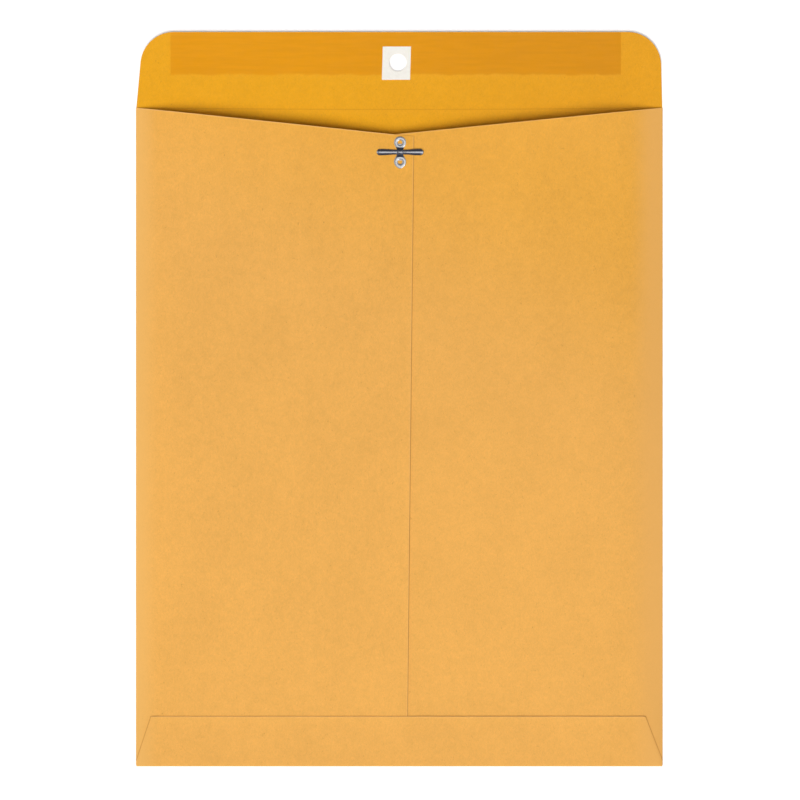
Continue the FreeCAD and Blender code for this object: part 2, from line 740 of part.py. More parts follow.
def write_step(subpart):
    """Checks one sub-part and writes it to the file that its label names."""
    shape = subpart.Shape
    if shape.isNull() or not shape.isValid() or len(shape.Solids) != 1:
        raise RuntimeError(f"{subpart.Label} is not one valid solid")
    shape.exportStep(f"parts/{subpart.Label}.step")
    box = shape.BoundBox
    extent = f"{box.XLength:.2f} x {box.YLength:.2f} x {box.ZLength:.2f} mm"
    print(f"{subpart.Label}: {shape.Volume:.2f} mm3, {extent}")


def main():
    os.makedirs("parts", exist_ok=True)
    subparts = [
        envelope_sheet(),
        hole_patch(),
        flap_gum(),
        seam_glue(),
        bottom_glue(),
        clasp_base(),
        prong("prong_right", 1),
        prong("prong_left", -1),
    ]
    doc.recompute()
    check_document()
    for subpart in subparts:
        write_step(subpart)


main()
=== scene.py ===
"""Looks for an open-end kraft clasp envelope, built round its packed construction model.

The paper is one blank: a grid that is folded by the same laws as the solids, trimmed, pierced and given
its thickness. The gum, the patch and the films of adhesive follow the folded paper. The clasp is turned
and pressed from its own sections, and its two prongs ride on their own bodies.

Sizes are in millimetres until a mesh is finished, when it is scaled to metres.
"""

import logging
import math
from dataclasses import dataclass, field
from enum import Enum, IntEnum
from typing import Callable, Optional, Sequence

import bmesh
import bpy
from mathutils import Matrix, Vector, noise


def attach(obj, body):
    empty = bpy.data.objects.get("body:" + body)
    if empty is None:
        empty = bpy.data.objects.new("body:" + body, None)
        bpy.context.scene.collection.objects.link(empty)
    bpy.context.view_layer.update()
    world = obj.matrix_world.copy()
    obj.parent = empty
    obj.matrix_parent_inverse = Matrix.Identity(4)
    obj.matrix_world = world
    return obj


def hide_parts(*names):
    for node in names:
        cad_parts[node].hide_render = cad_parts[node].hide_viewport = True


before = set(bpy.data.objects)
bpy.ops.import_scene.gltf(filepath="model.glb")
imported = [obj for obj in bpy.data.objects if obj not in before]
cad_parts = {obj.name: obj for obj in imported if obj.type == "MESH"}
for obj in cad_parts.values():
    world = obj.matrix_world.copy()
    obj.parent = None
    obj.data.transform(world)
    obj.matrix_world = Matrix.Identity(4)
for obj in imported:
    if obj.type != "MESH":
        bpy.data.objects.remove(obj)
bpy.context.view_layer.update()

MM = 0.001
BODY = "envelope"

Colour = tuple[float, float, float]
Law = Callable[[float, float], float]

log = logging.getLogger("clasp_envelope")


class Side(Enum):
    """A side of the envelope as its seam side is seen, with the sign of its X."""

    LEFT = -1
    RIGHT = 1


class Zone(Enum):
    """A stretch of the blank, across it or along it."""

    LEFT_PANEL = "left_panel"
    LEFT_BEND = "left_bend"
    RIGHT_BEND = "right_bend"
    RIGHT_PANEL = "right_panel"
    BACK = "back"
    BOTTOM_FLAP = "bottom_flap"
    BOTTOM_BEND = "bottom_bend"
    CLOSING_FLAP = "closing_flap"


class Skin(IntEnum):
    """The material slots of the folded sheet."""

    INSIDE = 0
    OUTSIDE = 1
    CUT_EDGE = 2


def smooth_share(value: float, low: float, high: float) -> float:
    """Returns 0 below low and 1 above high, with a smooth rise between them."""
    share = min(1.0, max(0.0, (value - low) / (high - low)))
    return share * share * (3.0 - 2.0 * share)


def graded(start: float, stop: float, first: float, last: float, widest: float) -> list[float]:
    """Spaces stations from start to stop, closer together towards both ends.

    Args:
        start: The first station.
        stop: The last station.
        first: The step beside the first station.
        last: The step beside the last station.
        widest: The widest step, in the middle.

    Returns:
        The stations in rising order, both ends among them.
    """
    length = stop - start

    def run(step: float) -> list[float]:
        """Returns the growing distances from one end."""
        found = [0.0]
        while step < widest and found[-1] + step < length / 2:
            found.append(found[-1] + step)
            step *= 1.45
        return found

    head, tail = run(first), run(last)
    gap = length - tail[-1] - head[-1]
    count = max(1, math.ceil(gap / widest))
    middle = [head[-1] + gap * i / count for i in range(1, count)]
    return [start + d for d in head + middle] + [stop - d for d in reversed(tail)]


@dataclass(frozen=True)
class Swell:
    """The underside of one folded layer: its heights at the side folds, the bottom fold and on top."""

    side_foot: float
    bottom_foot: float
    crown: float


@dataclass(frozen=True)
class EnvelopeShape:
    """The sizes of the folded envelope and the laws that give each layer its height."""

    width: float = 293.4
    height: float = 366.9
    paper: float = 0.16
    fold_gap: float = 0.10
    glue_gap: float = 0.05
    belly_rise: float = 5.2
    side_shoulder: float = 20.0
    side_round: float = 109.0
    bottom_shoulder: float = 49.0
    bottom_round: float = 390.0
    panel_hem: float = 0.8
    throat_depth: float = 15.0
    throat_offset: float = -3.0
    seam_top: float = 8.0
    seam_bottom: float = 4.2
    seam_overlap: float = 24.0
    bottom_flap_height: float = 27.9
    left_rise: float = 2.5
    right_rise: float = 3.2
    left_taper: float = 8.5
    right_taper: float = 9.7
    flap_height: float = 42.1
    flap_lift: float = 1.6
    hole_radius: float = 4.9
    hole_x: float = -0.8
    hole_up: float = 25.1
    clasp_x: float = 0.4
    clasp_y: float = 158.55
    corner_blend: float = 3.0
    wave_height: float = 0.12
    wave_length: float = 62.0
    still_side: float = 38.0
    still_bottom: float = 55.0
    gape: float = 2.1
    gape_depth: float = 26.0
    seam_curl: float = 0.30
    bottom_curl: float = 0.26
    crease_bow: float = 1.0
    crease_ridge: float = 0.05

    @property
    def half_width(self) -> float:
        """Half the body's width."""
        return self.width / 2

    @property
    def half_height(self) -> float:
        """Half the body's height, which is where the closing flap folds."""
        return self.height / 2

    @property
    def layer(self) -> float:
        """The rise from one layer of paper to the next."""
        return self.paper + self.glue_gap

    @property
    def panel_foot(self) -> float:
        """The height of a side panel's underside at its fold."""
        return self.paper + self.fold_gap

    @property
    def bottom_foot(self) -> float:
        """The height of the bottom flap's underside at its fold."""
        return self.panel_foot + 2 * self.layer

    @property
    def crown(self) -> float:
        """The height of the lower side panel's underside on the level top."""
        return self.panel_foot + self.belly_rise

    @property
    def side_radius(self) -> float:
        """The outer radius of the side folds."""
        return (self.panel_foot + self.paper) / 2

    @property
    def bottom_radius(self) -> float:
        """The outer radius of the bottom fold."""
        return (self.bottom_foot + self.paper) / 2

    @property
    def side_line(self) -> float:
        """The distance of the side folds' axes from the middle."""
        return self.half_width - self.side_radius

    @property
    def bottom_line(self) -> float:
        """The bottom fold's axis."""
        return self.bottom_radius - self.half_height

    @property
    def panel_bottom(self) -> float:
        """The lower edge of the side panels."""
        return self.panel_hem - self.half_height

    @property
    def flap_top(self) -> float:
        """The closing flap's free edge."""
        return self.half_height + self.flap_height

    @property
    def bottom_flap_top(self) -> float:
        """The bottom flap's free edge."""
        return self.bottom_flap_height - self.half_height

    @property
    def hidden_edge(self) -> float:
        """The lower panel's edge, which the upper panel covers."""
        return self.seam_top - self.seam_overlap

    @property
    def panels_top(self) -> float:
        """The height of the upper panel's face on the level top, where the clasp sits."""
        return self.crown + self.layer + self.paper

    @property
    def right_swell(self) -> Swell:
        """The lower side panel's underside."""
        return Swell(self.panel_foot, self.panel_foot, self.crown)

    @property
    def left_swell(self) -> Swell:
        """The upper side panel's underside."""
        return Swell(self.panel_foot, self.panel_foot + self.layer, self.crown + self.layer)

    @property
    def bottom_swell(self) -> Swell:
        """The bottom flap's underside."""
        return Swell(self.bottom_foot, self.bottom_foot, self.crown + 2 * self.layer)

    @property
    def hole_y(self) -> float:
        """The hole's centre along the envelope."""
        return self.half_height + self.hole_up

    @property
    def hole(self) -> Vector:
        """The centre of the closing flap's hole, at no height."""
        return Vector((self.hole_x, self.hole_y, 0))

    def throat_y(self, side: Side, x: float) -> float:
        """Returns where a side panel's top edge is at x."""
        away = self.half_width - side.value * x
        run = self.half_width - side.value * self.throat_offset
        return self.half_height - self.throat_depth * away / run

    def seam_x(self, share: float) -> float:
        """Returns where the centre seam is, for a share of the way up it."""
        return self.seam_bottom + (self.seam_top - self.seam_bottom) * share

    @staticmethod
    def ramp(away: float, shoulder: float, rise: float, rounding: float) -> float:
        """Finds the height of a straight ramp that rounds into a level top.

        Args:
            away: The distance from the ramp's foot.
            shoulder: The distance at which the straight ramp would meet the top.
            rise: The height of the top over the foot.
            rounding: The radius of the rounding between them.

        Returns:
            The height over the foot.
        """
        slope = math.atan2(rise, shoulder)
        setback = rounding * math.tan(slope / 2)
        start = shoulder - setback * math.cos(slope)
        stop = shoulder + setback
        if away <= start:
            return max(0.0, away) * math.tan(slope)
        if away >= stop:
            return rise
        return rise - rounding + math.sqrt(rounding**2 - (stop - away) ** 2)

    def underside(self, swell: Swell, x: float, y: float) -> float:
        """Finds the height of a folded layer's underside, before its waves and curls.

        Args:
            swell: The layer's feet and crown.
            x: The place across the envelope.
            y: The place along it.

        Returns:
            The height over the surface that the envelope rests on.
        """
        side_rise = swell.crown - swell.side_foot
        bottom_rise = swell.crown - swell.bottom_foot
        across = self.ramp(self.side_line - abs(x), self.side_shoulder, side_rise, self.side_round)
        along = self.ramp(y - self.bottom_line, self.bottom_shoulder, bottom_rise, self.bottom_round)
        foot = min(swell.side_foot, swell.bottom_foot)
        rise = swell.crown - foot
        shares = ((swell.side_foot + across - foot) / rise, (swell.bottom_foot + along - foot) / rise)
        if min(shares) < 1e-4:
            return foot + rise * max(0.0, min(shares))
        power = self.corner_blend
        both = (shares[0] ** -power + shares[1] ** -power - 1.0) ** (-1.0 / power)
        return foot + rise * both

    def wave(self, x: float, y: float) -> float:
        """Returns the shallow waves that all the folded layers share, still at the folds and the clasp."""
        still = smooth_share(self.side_line - abs(x), 0, self.still_side)
        still *= smooth_share(y - self.bottom_line, 0, self.still_bottom)
        still *= smooth_share(math.hypot(x - self.clasp_x, y - self.clasp_y), 12, 45)
        place = Vector((x / self.wave_length + 3.1, y / (1.5 * self.wave_length) + 7.7, 0.4))
        finer = Vector((x / 27 + 11.3, y / 34 + 2.9, 5.1))
        return still * self.wave_height * (noise.noise(place) + 0.25 * noise.noise(finer))

    def gape_lift(self, side: Side, x: float, y: float) -> float:
        """Returns how far the throat's edge bows up, between its ends and the clasp."""
        span = smooth_share(abs(x), 10, 52) * (1 - smooth_share(abs(x), 98, self.side_line))
        return self.gape * span * math.exp(-max(0.0, self.throat_y(side, x) - y) / self.gape_depth)

    def panel_height(self, side: Side, x: float, y: float) -> float:
        """Finds the height of a side panel's underside.

        Args:
            side: The panel. The left one laps over the right one.
            x: The place across the envelope.
            y: The place along it.

        Returns:
            The height of the paper's underside, with its waves and the curl of its free edge.
        """
        swell = self.left_swell if side is Side.LEFT else self.right_swell
        curl = 0.0
        if side is Side.LEFT:
            share = (y - self.panel_bottom) / self.height
            free = smooth_share(x, self.seam_x(share) - 5.5, self.seam_x(share))
            held = smooth_share(abs(y - self.clasp_y), 9, 22) * smooth_share(y, self.bottom_flap_top, -135)
            curl = self.seam_curl * free * free * held
        return self.underside(swell, x, y) + self.wave(x, y) + self.gape_lift(side, x, y) + curl

    def bottom_flap_height_at(self, x: float, y: float) -> float:
        """Returns the height of the bottom flap's underside, with the curl of its free edge."""
        free = smooth_share(y, self.bottom_flap_top - 4.5, self.bottom_flap_top)
        return self.underside(self.bottom_swell, x, y) + self.wave(x, y) + self.bottom_curl * free

    def back_height(self, x: float, y: float) -> float:
        """Returns the height of the underside of the back panel and of the open flap beyond its crease."""
        away = y - self.half_height
        ridge = self.crease_ridge * math.exp(-((away / 0.75) ** 2))
        rise = max(0.0, away) / self.flap_height
        return ridge + self.flap_lift * (0.55 * rise + 0.45 * rise * rise)

    def crease_shift(self, x: float, y: float) -> float:
        """Returns how far the flap's crease sags below a straight line."""
        middle = 1 - (x / self.side_line) ** 2
        return -self.crease_bow * max(0.0, middle) * math.exp(-(((y - self.half_height) / 16) ** 2))


SHAPE = EnvelopeShape()


class NodeBoard:
    """Adds nodes to one tree and links them as it goes."""

    def __init__(self, tree: bpy.types.NodeTree) -> None:
        """Starts with an empty tree."""
        self.tree = tree
        self.tree.nodes.clear()

    def put(self, socket: bpy.types.NodeSocket, value: object) -> None:
        """Links a socket to another node's output, or sets its number or colour."""
        if isinstance(value, bpy.types.NodeSocket):
            self.tree.links.new(value, socket)
        elif isinstance(value, tuple) and len(value) == 3 and socket.type == "RGBA":
            socket.default_value = (*value, 1.0)
        else:
            socket.default_value = value

    def add(self, kind: str, **sockets: object) -> bpy.types.Node:
        """Adds a node.

        Args:
            kind: The node's kind, without its leading ShaderNode.
            **sockets: A value or an output for each of its inputs, named with _ for a space.

        Returns:
            The node.
        """
        node = self.tree.nodes.new("ShaderNode" + kind)
        for name, value in sockets.items():
            self.put(node.inputs[name.replace("_", " ")], value)
        return node

    def sum(self, operation: str, *numbers: object) -> bpy.types.NodeSocket:
        """Returns one Math operation on one, two or three numbers."""
        made = self.add("Math")
        made.operation = operation
        for socket, number in zip(made.inputs, numbers):
            self.put(socket, number)
        return made.outputs[0]

    def spread(
        self, value: object, low: float, high: float, start: float = 0.0, stop: float = 1.0
    ) -> bpy.types.NodeSocket:
        """Maps low..high smoothly on to start..stop.

        Args:
            value: The number to map.
            low: Where the map starts.
            high: Where it stops.
            start: The result at low.
            stop: The result at high.

        Returns:
            The mapped number.
        """
        ranged = self.add("MapRange", Value=value, From_Min=low, From_Max=high, To_Min=start, To_Max=stop)
        ranged.interpolation_type = "SMOOTHSTEP"
        return ranged.outputs["Result"]

    def close(self, kind: str, *shaders: bpy.types.Node) -> None:
        """Ends the tree with an output of a kind, which takes one shader or two added up."""
        last = shaders[0]
        if len(shaders) > 1:
            last = self.add("AddShader")
            for socket, shader in zip(last.inputs, shaders):
                self.put(socket, shader.outputs[0])
        self.add(kind, Surface=last.outputs[0])


class NodeSheet(NodeBoard):
    """Adds the nodes of one material."""

    def __init__(self, name: str) -> None:
        """Starts an empty material.

        Args:
            name: The material's name.
        """
        self.material = bpy.data.materials.new(name)
        self.material.use_nodes = True
        super().__init__(self.material.node_tree)
        where = self.add("TexCoord")
        self.place = self.stretched(where.outputs["Object"], (1 / MM, 1 / MM, 1 / MM))

    def stretched(
        self, vector: bpy.types.NodeSocket, scale: Colour, turn: float = 0.0
    ) -> bpy.types.NodeSocket:
        """Scales and turns a vector.

        Args:
            vector: The place to start from.
            scale: The scale along each axis, after the turn.
            turn: The turn about Z in degrees.

        Returns:
            The new vector.
        """
        turned = self.add("Mapping", Vector=vector, Rotation=(0, 0, math.radians(turn)), Scale=scale)
        return turned.outputs["Vector"]

    def noise(
        self, vector: bpy.types.NodeSocket, scale: float, detail: float = 2.0, warp: float = 0.0
    ) -> bpy.types.NodeSocket:
        """Returns smooth noise, about 0.5, at so many lumps a millimetre."""
        lumps = self.add("TexNoise", Vector=vector, Scale=scale, Detail=detail, Distortion=warp)
        return lumps.outputs["Fac"]

    def axis(self, letter: str) -> bpy.types.NodeSocket:
        """Returns one coordinate of the place on the object, in millimetres."""
        return self.add("SeparateXYZ", Vector=self.place).outputs[letter]

    def blended(self, share: object, first: object, second: object) -> bpy.types.NodeSocket:
        """Mixes two colours.

        Args:
            share: How much of the second colour there is.
            first: The first colour or its output.
            second: The second colour or its output.

        Returns:
            The mixed colour.
        """
        mixed = self.add("Mix")
        mixed.data_type = "RGBA"
        self.put(mixed.inputs["Factor"], share)
        self.put(mixed.inputs[6], first)
        self.put(mixed.inputs[7], second)
        return mixed.outputs[2]

    def brightened(self, colour: object, factor: bpy.types.NodeSocket) -> bpy.types.NodeSocket:
        """Returns the colour times a number near 1."""
        scaled = self.add("VectorMath")
        scaled.operation = "SCALE"
        self.put(scaled.inputs[0], colour)
        self.put(scaled.inputs["Scale"], factor)
        return scaled.outputs["Vector"]

    def hairs(
        self, scale: float, warp: float, width: float, cover: float, turn: float
    ) -> bpy.types.NodeSocket:
        """Draws short curved hairs, such as the fibres in paper.

        Args:
            scale: How many lumps a millimetre the lines wind round.
            warp: How strongly they are bent.
            width: Their half width, as a share of the noise's swing.
            cover: The noise level over which a stretch of line shows.
            turn: The turn of the pattern in degrees.

        Returns:
            A mask that is 1 along each hair.
        """
        place = self.stretched(self.place, (1.0, 0.55, 1.0), turn)
        winding = self.noise(place, scale, 1.0, warp)
        away = self.sum("ABSOLUTE", self.sum("SUBTRACT", winding, 0.5))
        line = self.spread(away, width * 0.35, width, 1.0, 0.0)
        patches = self.noise(self.stretched(place, (1, 1, 1), 37), scale * 1.9, 1.0)
        return self.sum("MULTIPLY", line, self.spread(patches, cover, cover + 0.05))

    def beside(self, start: Sequence[float], stop: Sequence[float], width: float) -> bpy.types.NodeSocket:
        """Draws the soft dark line that lies on the left of a stretch, as one walks along it.

        Args:
            start: Where the stretch starts, in X and Y.
            stop: Where it stops.
            width: How far the line fades out from it.

        Returns:
            A mask that is 1 beside the stretch.
        """
        along = Vector((stop[0] - start[0], stop[1] - start[1]))
        length = along.length
        along.normalize()
        dx = self.sum("SUBTRACT", self.axis("X"), start[0])
        dy = self.sum("SUBTRACT", self.axis("Y"), start[1])

        def dot(a: float, b: float) -> bpy.types.NodeSocket:
            """Returns the distance from the start along one direction."""
            return self.sum("ADD", self.sum("MULTIPLY", dx, a), self.sum("MULTIPLY", dy, b))

        away, run = dot(-along.y, along.x), dot(along.x, along.y)
        mask = self.sum("MULTIPLY", self.spread(away, 0.1, width, 1.0, 0.0), self.spread(away, -0.12, -0.04))
        mask = self.sum("MULTIPLY", mask, self.spread(run, -0.2, 0.2))
        return self.sum("MULTIPLY", mask, self.spread(run, length - 0.2, length + 0.2, 1.0, 0.0))

    def bumped(self, height: object, strength: float, depth: float) -> bpy.types.NodeSocket:
        """Returns a normal with relief from a height, where depth is in millimetres."""
        relief = self.add("Bump", Strength=strength, Distance=depth * MM, Height=height)
        return relief.outputs["Normal"]

    def surface(self, **sockets: object) -> bpy.types.Material:
        """Closes the material with a Principled shader.

        Args:
            **sockets: A value or an output for each of the shader's sockets, named with _ for a space.

        Returns:
            The finished material.
        """
        self.close("OutputMaterial", self.add("BsdfPrincipled", **sockets))
        return self.material


@dataclass(frozen=True)
class KraftFace:
    """A face of brown kraft paper: clouded, fibrous and flecked with bark."""

    name: str
    base: Colour
    drift: Colour
    drift_x: float = 0.5
    drift_y: float = 1.2
    drift_from: float = 60.0
    drift_to: float = 230.0
    fleck: Colour = (0.36, 0.13, 0.025)
    pale: Colour = (0.92, 0.52, 0.15)
    cloud: float = 0.062
    roughness: float = 0.78

    def toned(self, sheet: NodeSheet) -> tuple[bpy.types.NodeSocket, bpy.types.NodeSocket]:
        """Paints the paper's colour.

        Args:
            sheet: The material in work.

        Returns:
            The colour, and the height of its relief.
        """
        across = sheet.sum("MULTIPLY", sheet.axis("X"), self.drift_x)
        corner = sheet.sum("ADD", across, sheet.sum("MULTIPLY", sheet.axis("Y"), self.drift_y))
        colour = sheet.blended(sheet.spread(corner, self.drift_from, self.drift_to), self.base, self.drift)
        wide = sheet.noise(sheet.stretched(sheet.place, (1.0, 0.7, 1.0), 9), 0.034, 3.0)
        lumps = sheet.noise(sheet.place, 0.19, 3.0, 0.4)
        fine = sheet.noise(sheet.stretched(sheet.place, (1.0, 0.6, 1.0), 9), 1.1, 3.0)
        along = sheet.noise(sheet.stretched(sheet.place, (3.4, 0.8, 2.0), 7), 1.6, 2.0)
        askew = sheet.noise(sheet.stretched(sheet.place, (3.0, 0.9, 2.0), -52), 1.5, 2.0)
        light = sheet.spread(wide, 0.3, 0.7, 1 - 0.3 * self.cloud, 1 + 0.3 * self.cloud)
        for layer, share in ((lumps, 0.36), (fine, 0.5), (along, 0.6), (askew, 0.5)):
            swing = share * self.cloud
            light = sheet.sum("MULTIPLY", light, sheet.spread(layer, 0.28, 0.72, 1 - swing, 1 + swing))
        colour = sheet.brightened(colour, light)
        pale_hairs = sheet.hairs(0.62, 1.3, 0.016, 0.50, 14)
        dark_hairs = sheet.hairs(0.55, 1.1, 0.013, 0.55, -23)
        colour = sheet.blended(sheet.sum("MULTIPLY", pale_hairs, 0.22), colour, self.pale)
        colour = sheet.blended(sheet.sum("MULTIPLY", dark_hairs, 0.26), colour, self.fleck)
        colour = sheet.blended(self.flecks(sheet), colour, self.fleck)
        relief = sheet.sum("ADD", sheet.sum("MULTIPLY", along, 0.9), sheet.sum("MULTIPLY", askew, 0.7))
        relief = sheet.sum("ADD", relief, sheet.sum("MULTIPLY", pale_hairs, 0.35))
        return colour, sheet.sum("ADD", relief, sheet.sum("MULTIPLY", fine, 0.6))

    @staticmethod
    def flecks(sheet: NodeSheet) -> bpy.types.NodeSocket:
        """Scatters small bark flecks.

        Args:
            sheet: The material in work.

        Returns:
            A mask that is strong on each fleck.
        """
        place = sheet.stretched(sheet.place, (1.0, 0.42, 1.0), 21)
        cells = sheet.add("TexVoronoi", Vector=place, Scale=0.21, Randomness=1.0)
        near = sheet.spread(cells.outputs["Distance"], 0.028, 0.052, 1.0, 0.0)
        tint = sheet.add("SeparateColor", Color=cells.outputs["Color"])
        few = sheet.spread(tint.outputs[0], 0.66, 0.95, 0.0, 0.55)
        return sheet.sum("MULTIPLY", near, few)

    def painted_light_and_shade(self, sheet: NodeSheet, colour: bpy.types.NodeSocket) -> bpy.types.NodeSocket:
        """Returns the colour with the painted light and shade that this face has; a plain face has none."""
        return colour

    def material(self) -> bpy.types.Material:
        """Returns the finished material."""
        sheet = NodeSheet(self.name)
        colour, relief = self.toned(sheet)
        colour = self.painted_light_and_shade(sheet, colour)
        cloud = sheet.noise(sheet.place, 0.5, 2.0)
        rough = sheet.spread(cloud, 0.3, 0.7, self.roughness - 0.06, self.roughness + 0.08)
        return sheet.surface(
            Base_Color=colour,
            Roughness=rough,
            Specular_IOR_Level=0.22,
            Normal=sheet.bumped(relief, 0.5, 0.02),
        )


@dataclass(frozen=True)
class OuterFace(KraftFace):
    """The kraft's outer face, with painted light bands at its side folds, painted shade along its length,
    painted shadow lines beside its lapped edges and painted highlight lines along its cut edges.
    """

    shape: EnvelopeShape = SHAPE
    # Colours and widths of the painted light and shade: shadow lines beside the lapped edges, light bands at
    # the two side folds and highlight lines along the cut edges.
    shade: Colour = (0.50, 0.205, 0.040)
    band: Colour = (0.850, 0.465, 0.128)
    far_band: Colour = (0.825, 0.430, 0.115)
    rim: Colour = (0.92, 0.55, 0.20)
    depth: float = 0.80
    line: float = 0.60
    highlight_width: float = 0.80
    band_width: float = 14.0
    far_width: float = 20.0
    far_edge: float = 4.0

    def painted_light_and_shade(self, sheet: NodeSheet, colour: bpy.types.NodeSocket) -> bpy.types.NodeSocket:
        """Paints light and shade into the colour: pale bands at the side folds, a tone along the length,
        shadow lines beside the seam and the bottom flap, and highlight lines along the cut edges.

        Args:
            sheet: The material in work.
            colour: The paper's colour.

        Returns:
            The colour with its painted light and shade.
        """
        s = self.shape
        top = s.bottom_flap_top
        seam_low = (s.seam_x((top - s.panel_bottom) / s.height), top)
        seam_high = (s.seam_top, s.throat_y(Side.LEFT, s.seam_top))
        left = (s.left_taper - s.half_width, top)
        right = (s.half_width - s.right_taper, top)
        left_foot = (-s.half_width, s.left_rise - s.half_height)
        right_foot = (s.half_width, s.right_rise - s.half_height)
        throat = (s.throat_offset, s.half_height - s.throat_depth)
        far_left, far_right = (-s.half_width, s.half_height), (s.half_width, s.half_height)
        # The stretches with painted shadow lines beside them: the seam, the bottom flap's top and slanted
        # edges, and the throat's edge by the seam.
        stretches = (
            (seam_high, seam_low, 1.0),
            (left, right, 0.3),
            (left_foot, left, 0.8),
            (right, right_foot, 0.7),
            (throat, seam_high, 0.5),
        )
        # The stretches with painted highlight lines along them: the seam, the bottom flap's top edge and the
        # throat's two edges.
        highlight_stretches = (
            (seam_low, seam_high, 0.4),
            (right, left, 0.4),
            (throat, far_left, 0.55),
            (far_right, throat, 0.35),
        )
        lines = self.drawn(sheet, stretches, self.line)
        raised = sheet.spread(sheet.axis("Z"), 0.1, 0.2)
        # Painted highlight: pale lines along the cut edges, on the raised paper only.
        rim = sheet.sum("MULTIPLY", self.drawn(sheet, highlight_stretches, self.highlight_width), raised)
        colour = sheet.blended(rim, colour, self.rim)
        # Painted light: a paler band at the left fold, where the fold faces the light.
        near = sheet.spread(sheet.axis("X"), -s.half_width, self.band_width - s.half_width, 0.85, 0.0)
        colour = sheet.blended(near, colour, self.band)
        # Painted light: a paler band at the right fold.
        start, stop = s.half_width - self.far_width, s.half_width - self.far_edge
        colour = sheet.blended(sheet.spread(sheet.axis("X"), start, stop, 0.0, 0.8), colour, self.far_band)
        # Painted shade and light along the length: darker at the lower end and over the upper half, a little
        # less dark near the throat.
        tones = ((-s.half_height, -115.0, 0.95, 1.0), (-70.0, 60.0, 1.0, 0.965), (95.0, 160.0, 1.0, 1.02))
        for tone in tones:
            colour = sheet.brightened(colour, sheet.spread(sheet.axis("Y"), *tone))
        # Painted shadow: dark lines beside the lapped edges, on the raised paper only.
        lines = sheet.sum("MULTIPLY", lines, sheet.sum("MULTIPLY", raised, self.depth))
        return sheet.blended(lines, colour, self.shade)

    @staticmethod
    def drawn(sheet: NodeSheet, stretches: Sequence[tuple], width: float) -> bpy.types.NodeSocket:
        """Draws soft lines beside several stretches.

        Args:
            sheet: The material in work.
            stretches: The start, the stop and the strength of each.
            width: How far the lines fade out.

        Returns:
            Their mask.
        """
        lines: object = 0.0
        for start, stop, share in stretches:
            line = sheet.sum("MULTIPLY", sheet.beside(start, stop, width), share)
            lines = sheet.sum("MAXIMUM", lines, line)
        return lines


@dataclass(frozen=True)
class InnerFace(KraftFace):
    """The kraft's inner face, with painted shade along the closing flap's crease."""

    shape: EnvelopeShape = SHAPE
    crease_shade: Colour = (0.60, 0.245, 0.012)

    def painted_light_and_shade(self, sheet: NodeSheet, colour: bpy.types.NodeSocket) -> bpy.types.NodeSocket:
        """Paints the shade along the crease.

        Args:
            sheet: The material in work.
            colour: The paper's colour.

        Returns:
            The colour with its painted shade.
        """
        s = self.shape
        across = sheet.sum("MULTIPLY", sheet.axis("X"), 1 / s.side_line)
        middle = sheet.sum("SUBTRACT", sheet.sum("MULTIPLY", across, across), 1.0)
        sag = sheet.sum("MULTIPLY", middle, s.crease_bow)
        away = sheet.sum("SUBTRACT", sheet.axis("Y"), sheet.sum("ADD", sag, s.half_height))
        # Painted shade: a thin dark line along the sagging crease, where the fold's ridge would be shaded.
        line = sheet.spread(sheet.sum("ABSOLUTE", away), 0.1, 0.55, 1.0, 0.0)
        return sheet.blended(sheet.sum("MULTIPLY", line, 0.42), colour, self.crease_shade)


@dataclass(frozen=True)
class GumFace(KraftFace):
    """The dry gum: the paper's inner face under a clear brown film that fades in along its lower edge."""

    gum: Colour = (0.745, 0.290, 0.001)
    gum_far: Colour = (0.652, 0.249, 0.003)
    left: float = -127.7
    right: float = 123.7
    low: float = 201.0
    fade: float = 1.7

    def material(self) -> bpy.types.Material:
        """Returns the finished material."""
        sheet = NodeSheet(self.name)
        colour, relief = self.toned(sheet)
        wander = sheet.spread(sheet.noise(sheet.place, 0.12, 3.0), 0.3, 0.7, -0.5, 0.5)
        height = sheet.sum("ADD", sheet.axis("Y"), wander)
        covered = sheet.spread(height, self.low + 0.1, self.low + self.fade)
        for edge, step in ((self.left, 0.5), (self.right, -0.5)):
            covered = sheet.sum("MULTIPLY", covered, sheet.spread(sheet.axis("X"), edge, edge + step))
        film = sheet.blended(sheet.spread(sheet.axis("X"), -90.0, 130.0), self.gum, self.gum_far)
        streaks = sheet.noise(sheet.stretched(sheet.place, (0.10, 1.0, 1.0)), 0.55, 3.0)
        film = sheet.brightened(film, sheet.spread(streaks, 0.3, 0.7, 0.965, 1.03))
        colour = sheet.blended(sheet.sum("MULTIPLY", covered, 0.86), colour, film)
        rough = sheet.spread(sheet.noise(sheet.place, 0.35, 3.0), 0.3, 0.7, 0.50, 0.66)
        return sheet.surface(
            Base_Color=colour,
            Roughness=rough,
            Specular_IOR_Level=0.2,
            Normal=sheet.bumped(sheet.sum("ADD", relief, streaks), 0.3, 0.012),
        )


@dataclass(frozen=True)
class CutEdge:
    """The raw cut edge of the kraft paper, paler than its faces."""

    name: str = "kraft_cut_edge"
    base: Colour = (0.90, 0.60, 0.27)
    deep: Colour = (0.66, 0.36, 0.12)

    def material(self) -> bpy.types.Material:
        """Returns the finished material."""
        sheet = NodeSheet(self.name)
        grain = sheet.noise(sheet.place, 5.0, 2.0)
        return sheet.surface(
            Base_Color=sheet.blended(sheet.spread(grain, 0.35, 0.7), self.base, self.deep),
            Roughness=0.9,
            Normal=sheet.bumped(grain, 0.6, 0.03),
        )


